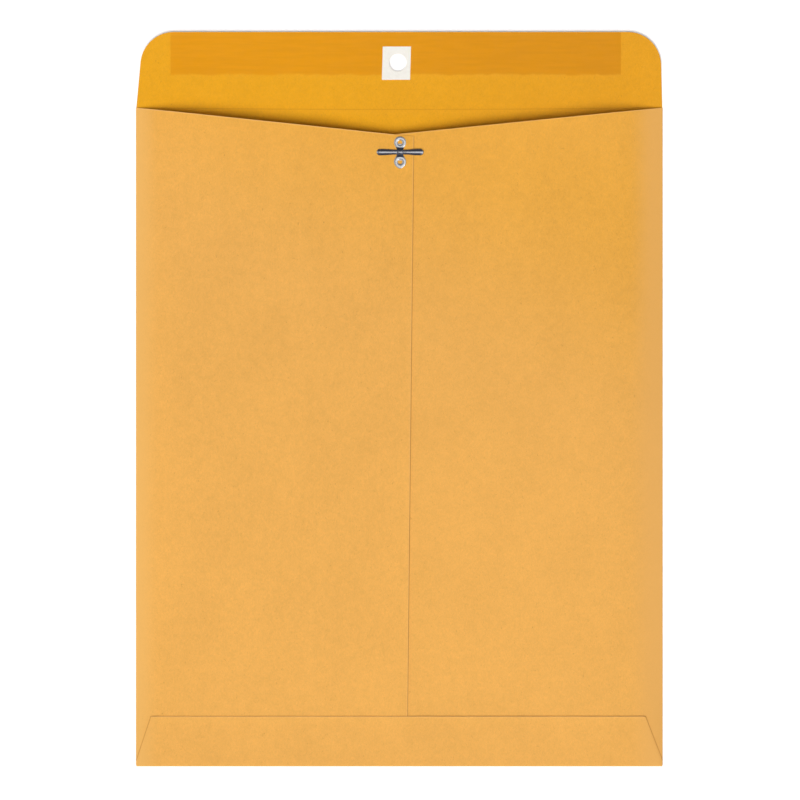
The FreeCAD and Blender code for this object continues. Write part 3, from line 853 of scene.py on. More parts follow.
@dataclass(frozen=True)
class WhitePaper:
    """The uncoated white paper of the patch."""

    name: str = "patch_paper"
    base: Colour = (0.90, 0.868, 0.80)
    shade: Colour = (0.80, 0.755, 0.67)

    def material(self) -> bpy.types.Material:
        """Returns the finished material."""
        sheet = NodeSheet(self.name)
        cloud = sheet.noise(sheet.place, 0.45, 4.0)
        fibres = sheet.hairs(0.9, 1.2, 0.03, 0.42, 30)
        grain = sheet.noise(sheet.stretched(sheet.place, (2.4, 0.8, 1.0), 20), 1.8, 2.0)
        colour = sheet.blended(sheet.spread(cloud, 0.35, 0.8, 0.0, 0.35), self.base, self.shade)
        colour = sheet.blended(sheet.sum("MULTIPLY", fibres, 0.25), colour, self.shade)
        relief = sheet.sum("ADD", grain, sheet.sum("MULTIPLY", fibres, 0.5))
        return sheet.surface(
            Base_Color=colour,
            Roughness=0.82,
            Specular_IOR_Level=0.25,
            Normal=sheet.bumped(relief, 0.45, 0.02),
        )


@dataclass(frozen=True)
class GlueFilm:
    """Dried adhesive between two layers of paper."""

    name: str = "dried_glue"
    base: Colour = (0.80, 0.70, 0.50)
    soaked: Colour = (0.62, 0.45, 0.22)

    def material(self) -> bpy.types.Material:
        """Returns the finished material."""
        sheet = NodeSheet(self.name)
        pools = sheet.noise(sheet.place, 0.4, 3.0, 0.6)
        return sheet.surface(
            Base_Color=sheet.blended(sheet.spread(pools, 0.35, 0.7), self.base, self.soaked),
            Roughness=sheet.spread(pools, 0.3, 0.7, 0.35, 0.6),
            Normal=sheet.bumped(pools, 0.3, 0.02),
        )


@dataclass(frozen=True)
class TinnedSteel:
    """Bright tinned strip steel, with painted dark reflection and shade in its low places and on one side of
    a line.

    The line runs along the bar: the colour passes from the painted dark reflection to the bright tin between
    two distances from it.
    """

    name: str = "tinned_steel"
    base: Colour = (0.66, 0.67, 0.69)
    # The colour of the painted dark reflection and shade.
    dark_reflection: Colour = (0.085, 0.095, 0.125)
    foot: float = 5.83
    full: float = 6.18
    bar_y: float = 158.55
    dark_at: float = 2.3
    bright_at: float = 3.2

    def material(self) -> bpy.types.Material:
        """Returns the finished material."""
        sheet = NodeSheet(self.name)
        drawn = sheet.noise(sheet.stretched(sheet.place, (0.5, 6.0, 6.0)), 1.4, 2.0)
        blotch = sheet.noise(sheet.place, 1.3, 3.0, 0.5)
        away = sheet.sum("ABSOLUTE", sheet.sum("SUBTRACT", sheet.axis("Y"), self.bar_y))
        # Painted dark reflection and shade: dark on one side of a line along the bar and in the low places,
        # with random blotches on the border.
        reflection_share = sheet.spread(away, self.dark_at, self.bright_at)
        reflection_share = sheet.sum("MULTIPLY", reflection_share, sheet.spread(sheet.axis("Z"), self.foot, self.full))
        reflection_share = sheet.sum("ADD", reflection_share, sheet.spread(blotch, 0.3, 0.7, -0.10, 0.10))
        colour = sheet.blended(sheet.spread(reflection_share, 0.0, 1.0), self.dark_reflection, self.base)
        rough = sheet.spread(blotch, 0.3, 0.7, 0.15, 0.24)
        return sheet.surface(
            Base_Color=colour,
            Metallic=1.0,
            Roughness=rough,
            Normal=sheet.bumped(drawn, 0.05, 0.004),
        )


def as_mesh(bm: bmesh.types.BMesh, name: str) -> bpy.types.Mesh:
    """Returns a bmesh as a mesh, and frees it."""
    mesh = bpy.data.meshes.new(name)
    bm.to_mesh(mesh)
    bm.free()
    return mesh


def set_out(name: str, data: bpy.types.ID) -> bpy.types.Object:
    """Returns a new object in the scene that holds the data."""
    thing = bpy.data.objects.new(name, data)
    bpy.context.scene.collection.objects.link(thing)
    return thing


def finish_piece(
    bm: bmesh.types.BMesh,
    name: str,
    materials: Sequence[bpy.types.Material],
    body: str = BODY,
    replaces: Optional[str] = None,
    wall: float = 0.0,
    offset: float = 0.0,
    sharp: float = 40.0,
) -> bpy.types.Object:
    """Turns a bmesh in millimetres into a finished piece that rides on a body.

    Args:
        bm: The shape, which is freed.
        name: The piece's name.
        materials: Its materials, in the order of its slots.
        body: The body it rides on.
        replaces: The node it stands for.
        wall: The wall that a Solidify modifier gives an open surface, or 0 for a closed shape.
        offset: Where the wall lies, from -1 behind the surface to 1 in front of it.
        sharp: The angle in degrees over which an edge stays sharp.

    Returns:
        The finished object.
    """
    bmesh.ops.scale(bm, vec=(MM, MM, MM), verts=bm.verts[:])
    for face in bm.faces:
        face.smooth = True
    piece = set_out(name, as_mesh(bm, name))
    mesh = piece.data
    for material in materials:
        mesh.materials.append(material)
    if wall:
        walls = piece.modifiers.new("wall", "SOLIDIFY")
        walls.thickness = wall * MM
        walls.offset = offset
        walls.use_even_offset = True
        walls.use_quality_normals = True
        if len(materials) == len(Skin):
            walls.material_offset = Skin.OUTSIDE
            walls.material_offset_rim = Skin.CUT_EDGE
        view = bpy.context.evaluated_depsgraph_get()
        piece.data = bpy.data.meshes.new_from_object(piece.evaluated_get(view), depsgraph=view)
        piece.modifiers.clear()
        bpy.data.meshes.remove(mesh)
        piece.data.name = name
    piece.data.set_sharp_from_angle(angle=math.radians(sharp))
    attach(piece, body)
    if replaces:
        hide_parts(replaces)
    log.info("%s: %d faces, rides on %s", name, len(piece.data.polygons), body)
    return piece


def stationed_grid(columns: int, rows: int) -> tuple[bmesh.types.BMesh, dict[int, tuple[int, int]]]:
    """Makes a grid whose vertices know their column and row.

    Args:
        columns: How many columns of vertices there are.
        rows: How many rows.

    Returns:
        The bmesh, and the column and row of each vertex by its index.
    """
    bm = bmesh.new()
    bmesh.ops.create_grid(bm, x_segments=columns - 1, y_segments=rows - 1, size=1.0)
    bm.verts.index_update()
    spots = {}
    for vert in bm.verts:
        column = round((vert.co.x + 1) / 2 * (columns - 1))
        row = round((vert.co.y + 1) / 2 * (rows - 1))
        spots[vert.index] = (column, row)
    return bm, spots


def flat_film(xs: Sequence[float], ys: Sequence[float], height: Law) -> bmesh.types.BMesh:
    """Lays a film over stations in X and Y.

    Args:
        xs: The stations across.
        ys: The stations along.
        height: The law that gives each place its height.

    Returns:
        The open surface.
    """
    bm, spots = stationed_grid(len(xs), len(ys))
    for vert in bm.verts:
        column, row = spots[vert.index]
        x, y = xs[column], ys[row]
        vert.co = (x, y, height(x, y))
    return bm


def square_reach(place: Vector, centre: Vector) -> float:
    """Returns the larger of a place's distances from a centre, across and along."""
    return max(abs(c) for c in (place - centre).to_2d())


def clear_square(bm: bmesh.types.BMesh, centre: Vector, half: float) -> None:
    """Drops the faces whose middles lie in a square, half of whose side is given."""
    inner = [face for face in bm.faces if square_reach(face.calc_center_median(), centre) < half]
    bmesh.ops.delete(bm, geom=inner, context="FACES")


def round_hole(bm: bmesh.types.BMesh, centre: Vector, radius: float, half: float, height: Law) -> None:
    """Opens a round hole in a grid that has a square of 8 by 8 cells round it.

    Args:
        bm: The grid, already in its place.
        centre: The hole's centre.
        radius: Its radius.
        half: Half the side of the square of cells that it replaces.
        height: The law that gives the rim its height.
    """
    clear_square(bm, centre, half)
    reach = half * 1.2
    square = [
        edge
        for edge in bm.edges
        if edge.is_boundary and all(square_reach(v.co, centre) < reach for v in edge.verts)
    ]
    turn = Matrix.Translation(centre) @ Matrix.Rotation(math.radians(45), 4, "Z")
    ring = bmesh.ops.create_circle(bm, segments=len(square), radius=radius, matrix=turn)["verts"]
    for vert in ring:
        vert.co.z = height(vert.co.x, vert.co.y)
    rim = list({edge for vert in ring for edge in vert.link_edges})
    web = bmesh.ops.bridge_loops(bm, edges=square + rim)["faces"]
    bmesh.ops.recalc_face_normals(bm, faces=bm.faces[:])
    spokes = {edge for face in web for edge in face.edges if edge not in rim and edge not in square}
    bmesh.ops.subdivide_edges(bm, edges=list(spokes), cuts=2)


@dataclass(frozen=True)
class Station:
    """One column or row of the blank: the stretch it lies in, and how far along that stretch."""

    zone: Zone
    at: float


@dataclass
class FoldedSheet:
    """The one sheet of kraft paper: back panel, two side panels, bottom flap and closing flap."""

    shape: EnvelopeShape
    outside: bpy.types.Material
    inside: bpy.types.Material
    cut_edge: bpy.types.Material
    bend_steps: int = 8
    widest: float = 4.6
    fine: float = 0.22
    at_fold: float = 0.8
    small_corner: float = 1.2
    flap_left_taper: float = 4.1
    flap_right_taper: float = 1.3
    flap_corner: float = 18.6
    hole_cell: float = 1.8
    part_layer: str = "part"
    columns: list[Station] = field(default_factory=list)
    rows: list[Station] = field(default_factory=list)

    def lay_out(self) -> None:
        """Sets the columns and rows of the blank, close together at the folds and the free edges."""
        s = self.shape
        left_run = s.side_line + s.seam_x(0.5)
        right_run = s.side_line - s.hidden_edge
        left = [d / left_run for d in graded(0, left_run, 0.5, self.fine, self.widest)]
        right = [d / right_run for d in graded(0, right_run, 0.5, 3.0, self.widest)]
        bends = [math.pi * i / self.bend_steps for i in range(1, self.bend_steps)]
        square = [s.hole_x + self.hole_cell * i for i in range(-4, 5)]
        back = graded(-s.side_line, square[0], self.at_fold, self.hole_cell, self.widest)[:-1]
        back += square + graded(square[-1], s.side_line, self.hole_cell, self.at_fold, self.widest)[1:]
        self.columns = [Station(Zone.LEFT_PANEL, share) for share in reversed(left)]
        self.columns += [Station(Zone.LEFT_BEND, angle) for angle in reversed(bends)]
        self.columns += [Station(Zone.BACK, x) for x in back]
        self.columns += [Station(Zone.RIGHT_BEND, angle) for angle in bends]
        self.columns += [Station(Zone.RIGHT_PANEL, share) for share in right]
        self.rows = self.bottom_rows(bends) + self.upper_rows()

    def bottom_rows(self, bends: Sequence[float]) -> list[Station]:
        """Returns the rows of the bottom flap, from its free edge, and of its bend."""
        s = self.shape
        run = s.bottom_flap_top - s.bottom_line
        slants = [rise - s.half_height - s.bottom_line for rise in (s.left_rise, s.right_rise)]
        plain = [d for d in graded(0, run, 0.5, self.fine, 3.0) if all(abs(d - k) > 0.3 for k in slants)]
        flap = [Station(Zone.BOTTOM_FLAP, s.bottom_line + d) for d in sorted(plain + slants, reverse=True)]
        return flap + [Station(Zone.BOTTOM_BEND, angle) for angle in reversed(bends)]

    def upper_rows(self) -> list[Station]:
        """Returns the rows of the back panel and of the closing flap."""
        s = self.shape
        square = [s.hole_y + self.hole_cell * i for i in range(-4, 5)]
        back = [s.bottom_line] + graded(s.panel_bottom, s.half_height, self.at_fold, 0.3, self.widest)
        flap = graded(s.half_height, square[0], 0.3, self.hole_cell, 4.0)[1:-1]
        flap += square + graded(square[-1], s.flap_top, self.hole_cell, 1.2, 4.0)[1:]
        return [Station(Zone.BACK, y) for y in back] + [Station(Zone.CLOSING_FLAP, y) for y in flap]

    def belongs(self, column: Station, row: Station) -> bool:
        """Returns whether the blank has paper at a column and row."""
        if column.zone is Zone.BACK:
            return True
        return row.zone is Zone.BACK and row.at >= self.shape.panel_bottom - 1e-6

    def place(self, column: Station, row: Station) -> Vector:
        """Folds one point of the blank.

        Args:
            column: Its column.
            row: Its row.

        Returns:
            Its place on the middle of the folded paper.
        """
        if column.zone is Zone.BACK:
            if row.zone in (Zone.BACK, Zone.CLOSING_FLAP):
                return self.place_back(column.at, row.at)
            return self.place_bottom(column.at, row)
        side = Side.LEFT if column.zone in (Zone.LEFT_PANEL, Zone.LEFT_BEND) else Side.RIGHT
        if column.zone in (Zone.LEFT_BEND, Zone.RIGHT_BEND):
            return self.place_bend(side, column.at, row.at)
        return self.place_panel(side, column.at, row.at)

    def place_back(self, x: float, y: float) -> Vector:
        """Places a point of the back panel or of the closing flap, whose sides lean in."""
        s = self.shape
        rise = max(0.0, y - s.half_height) / s.flap_height
        taper = self.flap_right_taper if x > 0 else self.flap_left_taper
        lean = 1 - rise * (taper - s.side_radius) / s.side_line
        return Vector((x * lean, y + s.crease_shift(x, y), s.back_height(x, y) + s.paper / 2))

    def place_bottom(self, x: float, row: Station) -> Vector:
        """Places a point of the bottom flap, whose ends slant in, or of its bend."""
        s = self.shape
        if row.zone is Zone.BOTTOM_BEND:
            radius = s.bottom_radius - s.paper / 2
            down = s.bottom_line - radius * math.sin(row.at)
            return Vector((x, down, s.bottom_radius - radius * math.cos(row.at)))
        rise, taper = (s.right_rise, s.right_taper) if x > 0 else (s.left_rise, s.left_taper)
        start = rise - s.half_height
        share = max(0.0, row.at - start) / (s.bottom_flap_top - start)
        lean = 1 - share * (taper - s.side_radius) / s.side_line
        place_x = x * lean
        return Vector((place_x, row.at, s.bottom_flap_height_at(place_x, row.at) + s.paper / 2))

    def place_bend(self, side: Side, angle: float, y: float) -> Vector:
        """Places a point of a side fold's bend."""
        s = self.shape
        radius = s.side_radius - s.paper / 2
        out = s.side_line + radius * math.sin(angle)
        return Vector((side.value * out, y, s.side_radius - radius * math.cos(angle)))

    def place_panel(self, side: Side, share: float, level: float) -> Vector:
        """Places a point of a side panel.

        Args:
            side: The panel.
            share: How far the point is from the fold to the free edge.
            level: Its height along the fold.

        Returns:
            Its place on the middle of the paper.
        """
        s = self.shape
        up = (level - s.panel_bottom) / (s.half_height - s.panel_bottom)
        free_edge = s.seam_x(up) if side is Side.LEFT else s.hidden_edge
        fold = side.value * s.side_line
        x = fold + share * (free_edge - fold)
        y = s.panel_bottom + up * (s.throat_y(side, x) - s.panel_bottom)
        return Vector((x, y, s.panel_height(side, x, y) + s.paper / 2))

    def fold(self) -> bmesh.types.BMesh:
        """Folds the blank and drops the corners that it hasn't got.

        Returns:
            The middle surface of the folded paper.
        """
        bm, spots = stationed_grid(len(self.columns), len(self.rows))
        spare = [
            vert
            for vert in bm.verts
            if not self.belongs(self.columns[spots[vert.index][0]], self.rows[spots[vert.index][1]])
        ]
        part = bm.faces.layers.int.new(self.part_layer)
        for face in bm.faces:
            zones = {self.rows[spots[vert.index][1]].zone for vert in face.verts}
            if Zone.BOTTOM_FLAP in zones or Zone.CLOSING_FLAP in zones:
                face[part] = 1 if Zone.BOTTOM_FLAP in zones else 2
        for vert in bm.verts:
            column, row = spots[vert.index]
            vert.co = self.place(self.columns[column], self.rows[row])
        bmesh.ops.delete(bm, geom=spare, context="VERTS")
        return bm

    def trim_corner(
        self, bm: bmesh.types.BMesh, part: int, corner: Vector, lean: float, side: Side, radius: float
    ) -> None:
        """Rounds a free corner with planes that touch its arc.

        Args:
            bm: The folded sheet.
            part: The mark of the flap that the corner is on.
            corner: The corner's place.
            lean: How far the side edge leans in for each millimetre up.
            side: The side that the corner is on.
            radius: The arc's radius.
        """
        marks = bm.faces.layers.int[self.part_layer]
        tilt = math.atan(lean)
        up = corner.y - radius
        across = radius * math.tan((math.pi / 2 - tilt) / 2)
        middle = Vector((corner.x - side.value * across, up, 0))
        steps = max(8, round(radius * 1.3))
        reach = 2.2 * radius + 6
        for i in range(1, steps):
            angle = tilt + (math.pi / 2 - tilt) * i / steps
            outward = Vector((side.value * math.cos(angle), math.sin(angle), 0))
            near = [
                face
                for face in bm.faces
                if face[marks] == part and (face.calc_center_median().xy - corner.xy).length < reach
            ]
            parts = list({e for f in near for e in f.edges}) + list({v for f in near for v in f.verts})
            bmesh.ops.bisect_plane(
                bm,
                geom=near + parts,
                dist=1e-5,
                plane_co=middle + outward * radius,
                plane_no=outward,
                clear_outer=True,
            )

    def build(self) -> bpy.types.Object:
        """Builds and dresses the sheet.

        Returns:
            The finished piece.
        """
        s = self.shape
        self.lay_out()
        bm = self.fold()
        for side, taper in ((Side.LEFT, self.flap_left_taper), (Side.RIGHT, self.flap_right_taper)):
            top = Vector((side.value * (s.half_width - taper), s.flap_top, s.flap_lift))
            lean = (taper - s.side_radius) / s.flap_height
            self.trim_corner(bm, 2, top, lean, side, self.flap_corner)
        for side, rise, taper in (
            (Side.LEFT, s.left_rise, s.left_taper),
            (Side.RIGHT, s.right_rise, s.right_taper),
        ):
            top = Vector((side.value * (s.half_width - taper), s.bottom_flap_top, 0))
            lean = (taper - s.side_radius) / (s.bottom_flap_height - rise)
            self.trim_corner(bm, 1, top, lean, side, self.small_corner)
        middle = s.paper / 2
        half = 4 * self.hole_cell
        round_hole(bm, s.hole, s.hole_radius, half, lambda x, y: s.back_height(x, y) + middle)
        top_face = max(bm.faces, key=lambda face: face.calc_center_median().y)
        if top_face.normal.z < 0:
            bmesh.ops.reverse_faces(bm, faces=bm.faces[:])
        bm.faces.layers.int.remove(bm.faces.layers.int[self.part_layer])
        return finish_piece(
            bm,
            "folded_sheet",
            (self.inside, self.outside, self.cut_edge),
            replaces="envelope_sheet",
            wall=s.paper,
        )


@dataclass
class FlapDressing:
    """The gum on the closing flap's inner face, and the patch round its hole."""

    shape: EnvelopeShape
    gum: bpy.types.Material
    patch: bpy.types.Material
    gum_left: float = 127.7
    gum_right: float = 123.7
    gum_height: float = 24.3
    gum_edge: float = 0.3
    gum_thickness: float = 0.04
    gum_room: float = 5.9
    gum_waver: float = 0.25
    patch_width: float = 15.7
    patch_height: float = 18.5
    patch_x: float = -1.6
    patch_up: float = 24.8
    patch_skew: float = 0.5
    patch_thickness: float = 0.12

    def flap_face(self, x: float, y: float) -> float:
        """Returns the height of the closing flap's inner face."""
        return self.shape.back_height(x, y) + self.shape.paper

    def lay_gum(self) -> bpy.types.Object:
        """Lays the gum, open round the hole where the patch covers it.

        Returns:
            The finished piece.
        """
        s = self.shape
        top = s.flap_top - self.gum_edge
        xs = graded(-self.gum_left, s.hole_x - self.gum_room, 0.4, 2.0, 4.0)
        xs += graded(s.hole_x + self.gum_room, self.gum_right, 2.0, 0.4, 4.0)
        ys = graded(top - self.gum_height, s.hole_y - self.gum_room, 0.3, 0.8, 2.5)
        ys += graded(s.hole_y + self.gum_room, top, 0.8, 0.4, 2.5)
        bm = flat_film(xs, ys, lambda x, y: self.flap_face(x, y) + self.gum_thickness / 2)
        clear_square(bm, s.hole, 1.0)
        self.waver_ends(bm)
        return finish_piece(
            bm, "flap_gum_film", (self.gum,), replaces="flap_gum", wall=self.gum_thickness
        )

    def waver_ends(self, bm: bmesh.types.BMesh) -> None:
        """Lets the gum's ends run a little uneven, as it is wiped on."""
        for vert in bm.verts:
            for edge, sign in ((-self.gum_left, -1), (self.gum_right, 1)):
                if abs(vert.co.x - edge) < 0.01:
                    place = Vector((vert.co.y / 3.1, sign * 4.0, 0))
                    vert.co.x += sign * self.gum_waver * noise.noise(place)

    def stick_patch(self) -> bpy.types.Object:
        """Builds the patch, a little askew, with its round hole.

        Returns:
            The finished piece.
        """
        s = self.shape
        cell_x, cell_y = self.patch_width / 8, self.patch_height / 8
        centre = Vector((self.patch_x, s.half_height + self.patch_up, 0))
        bm = bmesh.new()
        bmesh.ops.create_grid(bm, x_segments=8, y_segments=8, size=4.0)
        inner = [v for v in bm.verts if max(abs(v.co.x), abs(v.co.y)) < 3.5]
        bmesh.ops.delete(bm, geom=inner, context="VERTS")
        bmesh.ops.delete(bm, geom=bm.faces[:], context="FACES_ONLY")
        for vert in bm.verts:
            x, y = vert.co.x * cell_x, vert.co.y * cell_y
            vert.co = centre + Vector((x + self.patch_skew * y / self.patch_height, y, 0))
        outline = [e for e in bm.edges if all(self.on_outline(v.co - centre) for v in e.verts)]
        turn = Matrix.Translation(s.hole) @ Matrix.Rotation(math.radians(45), 4, "Z")
        ring = bmesh.ops.create_circle(bm, segments=32, radius=s.hole_radius, matrix=turn)["verts"]
        rim = list({edge for vert in ring for edge in vert.link_edges})
        web = bmesh.ops.bridge_loops(bm, edges=outline + rim)["faces"]
        spokes = {e for face in web for e in face.edges if e not in rim and e not in outline}
        bmesh.ops.subdivide_edges(bm, edges=list(spokes), cuts=4)
        bmesh.ops.recalc_face_normals(bm, faces=bm.faces[:])
        for vert in bm.verts:
            vert.co.z = self.flap_face(vert.co.x, vert.co.y) + self.patch_thickness / 2
        return finish_piece(
            bm,
            "hole_patch_paper",
            (self.patch,),
            replaces="hole_patch",
            wall=self.patch_thickness,
        )

    def on_outline(self, offset: Vector) -> bool:
        """Returns whether a point lies on the patch's outline."""
        x = offset.x - self.patch_skew * offset.y / self.patch_height
        past = max(abs(x) - self.patch_width / 2, abs(offset.y) - self.patch_height / 2)
        return abs(past) < 1e-3


@dataclass
class GlueLines:
    """The films of adhesive under the centre seam and under the bottom flap."""

    shape: EnvelopeShape
    glue: bpy.types.Material
    clearance: float = 0.01
    seam_width: float = 12.0
    seam_edge: float = 4.0
    seam_top: float = 48.0
    seam_low: float = 72.0
    bottom_edge: float = 4.0
    bottom_height: float = 18.0

    @property
    def film(self) -> float:
        """The film's thickness."""
        return self.shape.glue_gap - 2 * self.clearance

    def build_seam(self) -> bpy.types.Object:
        """Lays the film between the two side panels.

        Returns:
            The finished piece.
        """
        s = self.shape
        right = s.seam_bottom - self.seam_edge
        xs = graded(right - self.seam_width, right, 1.0, 1.0, 3.0)
        ys = graded(self.seam_low - s.half_height, s.half_height - self.seam_top, 3.0, 3.0, 6.0)
        lift = s.paper + s.glue_gap / 2
        bm = flat_film(xs, ys, lambda x, y: s.panel_height(Side.RIGHT, x, y) + lift)
        return finish_piece(bm, "seam_glue_film", (self.glue,), replaces="seam_glue", wall=self.film)

    def build_bottom(self) -> bpy.types.Object:
        """Lays the film under the bottom flap.

        Returns:
            The finished piece.
        """
        s = self.shape
        top = s.bottom_flap_top - self.bottom_edge
        left = s.left_taper + self.bottom_edge - s.half_width
        right = s.half_width - s.right_taper - self.bottom_edge
        xs = graded(left, right, 1.0, 1.0, 4.6)
        ys = graded(top - self.bottom_height, top - 0.6, 1.0, 1.0, 3.0)
        bm = flat_film(xs, ys, lambda x, y: s.bottom_flap_height_at(x, y) - s.glue_gap / 2)
        return finish_piece(
            bm, "bottom_glue_film", (self.glue,), replaces="bottom_glue", wall=self.film
        )


@dataclass
class Clasp:
    """The stamped clasp: a base with a waist and two eyelets, and two ribbed prongs."""

    shape: EnvelopeShape
    steel: bpy.types.Material
    rib_steel: bpy.types.Material
    metal: float = 0.28
    lobe_spread: float = 5.35
    lobe_radius: float = 3.4
    bore: float = 1.25
    tube: float = 1.70
    flare: float = 2.5
    flange_top: float = -0.40
    flange_low: float = -0.62
    lobe_rim: float = 0.16
    lobe_crown: float = 0.57
    lobe_lean: float = 0.35
    lobe_point: float = 0.14
    waist_half: float = 1.72
    waist_reach: float = 4.6
    waist_top: float = 0.55
    waist_fall: float = 0.27
    waist_dish: float = 0.06
    web_half: float = 2.75
    saddle_half: float = 1.30
    saddle_rise: float = 1.05
    saddle_reach: float = 1.42
    saddle_edge: float = 0.14
    root: float = 2.0
    reach: float = 13.1
    root_half: float = 1.35
    tip_half: float = 1.80
    tip_round: float = 1.75
    hinge_up: float = 0.75
    root_radius: float = 0.40
    rib_rise: float = 0.90
    rib_wall: float = 0.24
    tip_low: float = 0.30

    @property
    def seat(self) -> Vector:
        """The middle of the clasp on the paper."""
        return Vector((self.shape.clasp_x, self.shape.clasp_y, self.shape.panels_top))

    def lobe(self, bm: bmesh.types.BMesh, side: int, point: float) -> None:
        """Spins one eyelet lobe: its crowned ring, its tube and the flange inside the envelope.

        Args:
            bm: The base in work.
            side: 1 for the upper lobe and -1 for the lower one.
            point: How far the lobe's outer end is drawn out, as a share of its radius.
        """
        middle = (self.lobe_radius + self.bore) / 2
        half = (self.lobe_radius - self.bore) / 2
        outline = [(self.lobe_radius, 0.0)]
        for i in range(1, 14):
            angle = math.pi * i / 14
            low = self.lobe_rim * (1 - self.lobe_lean * (1 - math.cos(angle)) / 2)
            outline.append((middle + half * math.cos(angle), low + self.lobe_crown * math.sin(angle) ** 0.5))
        outline += [(self.bore, 0.05), (self.bore, self.flange_low), (self.flare, self.flange_low)]
        outline += [(self.flare, self.flange_top), (self.tube, self.flange_top), (self.tube, 0.0)]
        verts = [bm.verts.new((r, 0, z)) for r, z in outline]
        edges = [bm.edges.new((verts[i - 1], verts[i])) for i in range(len(verts))]
        bmesh.ops.spin(
            bm,
            geom=verts + edges,
            cent=(0, 0, 0),
            axis=(0, 0, 1),
            dvec=(0, 0, 0),
            angle=math.tau,
            steps=56,
            use_merge=True,
        )
        ring = [v for v in bm.verts if v.is_valid and not v.tag]
        for vert in ring:
            radius = math.hypot(vert.co.x, vert.co.y)
            towards_end = side * vert.co.y / radius
            outer = smooth_share(radius, self.bore, self.lobe_radius)
            vert.co.y *= 1 + point * outer * max(0.0, towards_end) ** 7
            vert.co.y += side * self.lobe_spread
            vert.tag = True
        faces = [f for f in bm.faces if all(v in ring for v in f.verts)]
        bmesh.ops.recalc_face_normals(bm, faces=faces)

    def waist(self) -> bmesh.types.BMesh:
        """Presses the waist: a strip that falls away from the bar and widens into the lobes.

        Returns:
            The closed strip.
        """
        xs = [i / 10 - 1 for i in range(21)]
        ys = graded(-self.waist_reach, self.waist_reach, 0.3, 0.3, 0.3)

        def half(y: float) -> float:
            """Returns the strip's half width."""
            return self.waist_half + (self.web_half - self.waist_half) * smooth_share(abs(y), 1.2, 3.7)

        def height(x: float, y: float) -> float:
            """Returns the height of its face."""
            fall = smooth_share(abs(y), 1.15, 2.5)
            dished = self.waist_dish * x * x
            return self.waist_top - self.waist_fall * fall - dished * (1 - fall)

        bm, spots = stationed_grid(len(xs), len(ys))
        for vert in bm.verts:
            column, row = spots[vert.index]
            x, y = xs[column], ys[row]
            vert.co = (x * half(y), y, height(x, y))
        bmesh.ops.solidify(bm, geom=bm.faces[:], thickness=self.metal)
        bmesh.ops.recalc_face_normals(bm, faces=bm.faces[:])
        return bm

    def saddle(self) -> bmesh.types.BMesh:
        """Presses the low rib between the prongs' roots.

        Returns:
            The closed rib.
        """
        bm = bmesh.new()
        outline = [(-self.saddle_half, self.metal)]
        for i in range(1, 20):
            across = -math.cos(math.pi * i / 20)
            rise = (self.saddle_rise - self.metal) * self.arch(across)
            outline.append((self.saddle_half * across, self.metal + rise))
        outline.append((self.saddle_half, self.metal))
        verts = [bm.verts.new((-self.saddle_reach, y, z)) for y, z in outline]
        face = bm.faces.new(verts)
        pushed = bmesh.ops.extrude_face_region(bm, geom=[face])["geom"]
        moved = [v for v in pushed if isinstance(v, bmesh.types.BMVert)]
        bmesh.ops.translate(bm, verts=moved, vec=(2 * self.saddle_reach, 0, 0))
        bmesh.ops.recalc_face_normals(bm, faces=bm.faces[:])
        ends = [e for e in bm.edges if abs(e.verts[0].co.x - e.verts[1].co.x) < 1e-6]
        bmesh.ops.bevel(
            bm,
            geom=ends,
            offset=self.saddle_edge,
            affect="EDGES",
            segments=3,
            profile=0.5,
            material=-1,
            clamp_overlap=True,
        )
        return bm

    def build_base(self) -> bpy.types.Object:
        """Builds and dresses the base.

        Returns:
            The finished piece.
        """
        bm = bmesh.new()
        self.lobe(bm, 1, 0.0)
        self.lobe(bm, -1, self.lobe_point)
        for slot, part in enumerate((self.waist(), self.saddle())):
            for face in part.faces:
                face.material_index = slot
            mesh = as_mesh(part, "part")
            bm.from_mesh(mesh)
            bpy.data.meshes.remove(mesh)
        bmesh.ops.translate(bm, verts=bm.verts[:], vec=self.seat)
        metals = (self.steel, self.rib_steel)
        return finish_piece(bm, "clasp_base_plate", metals, replaces="clasp_base")

    @staticmethod
    def arch(across: float) -> float:
        """Returns the height of a rib's section, from 0 at its edges to 1 along its crest."""
        return max(0.0, 1 - abs(across) ** 1.75) ** 0.5

    def prong_half(self, x: float) -> float:
        """Returns a prong's half width at a distance from its root."""
        length = self.reach - self.root
        half = self.root_half + (self.tip_half - self.root_half) * smooth_share(x, 0.0, 8.0)
        start = length - self.tip_round
        if x > start:
            half *= math.sqrt(max(0.0, 1 - ((x - start) / self.tip_round) ** 2))
        return half

    def prong_rise(self, x: float) -> float:
        """Returns the rise of a prong's rib over its foot at a distance from its root."""
        length = self.reach - self.root
        if x < 0:
            return 2 * self.root_radius * math.sqrt(max(0.0, 1 - (x / self.root_radius) ** 2))
        rise = 2 * self.root_radius + (self.rib_rise - 2 * self.root_radius) * smooth_share(x, 0.2, 1.6)
        start = length - self.tip_round
        if x > start:
            rounded = math.sqrt(max(0.0, 1 - ((x - start) / self.tip_round) ** 2))
            rise *= self.tip_low + (1 - self.tip_low) * rounded
        return rise

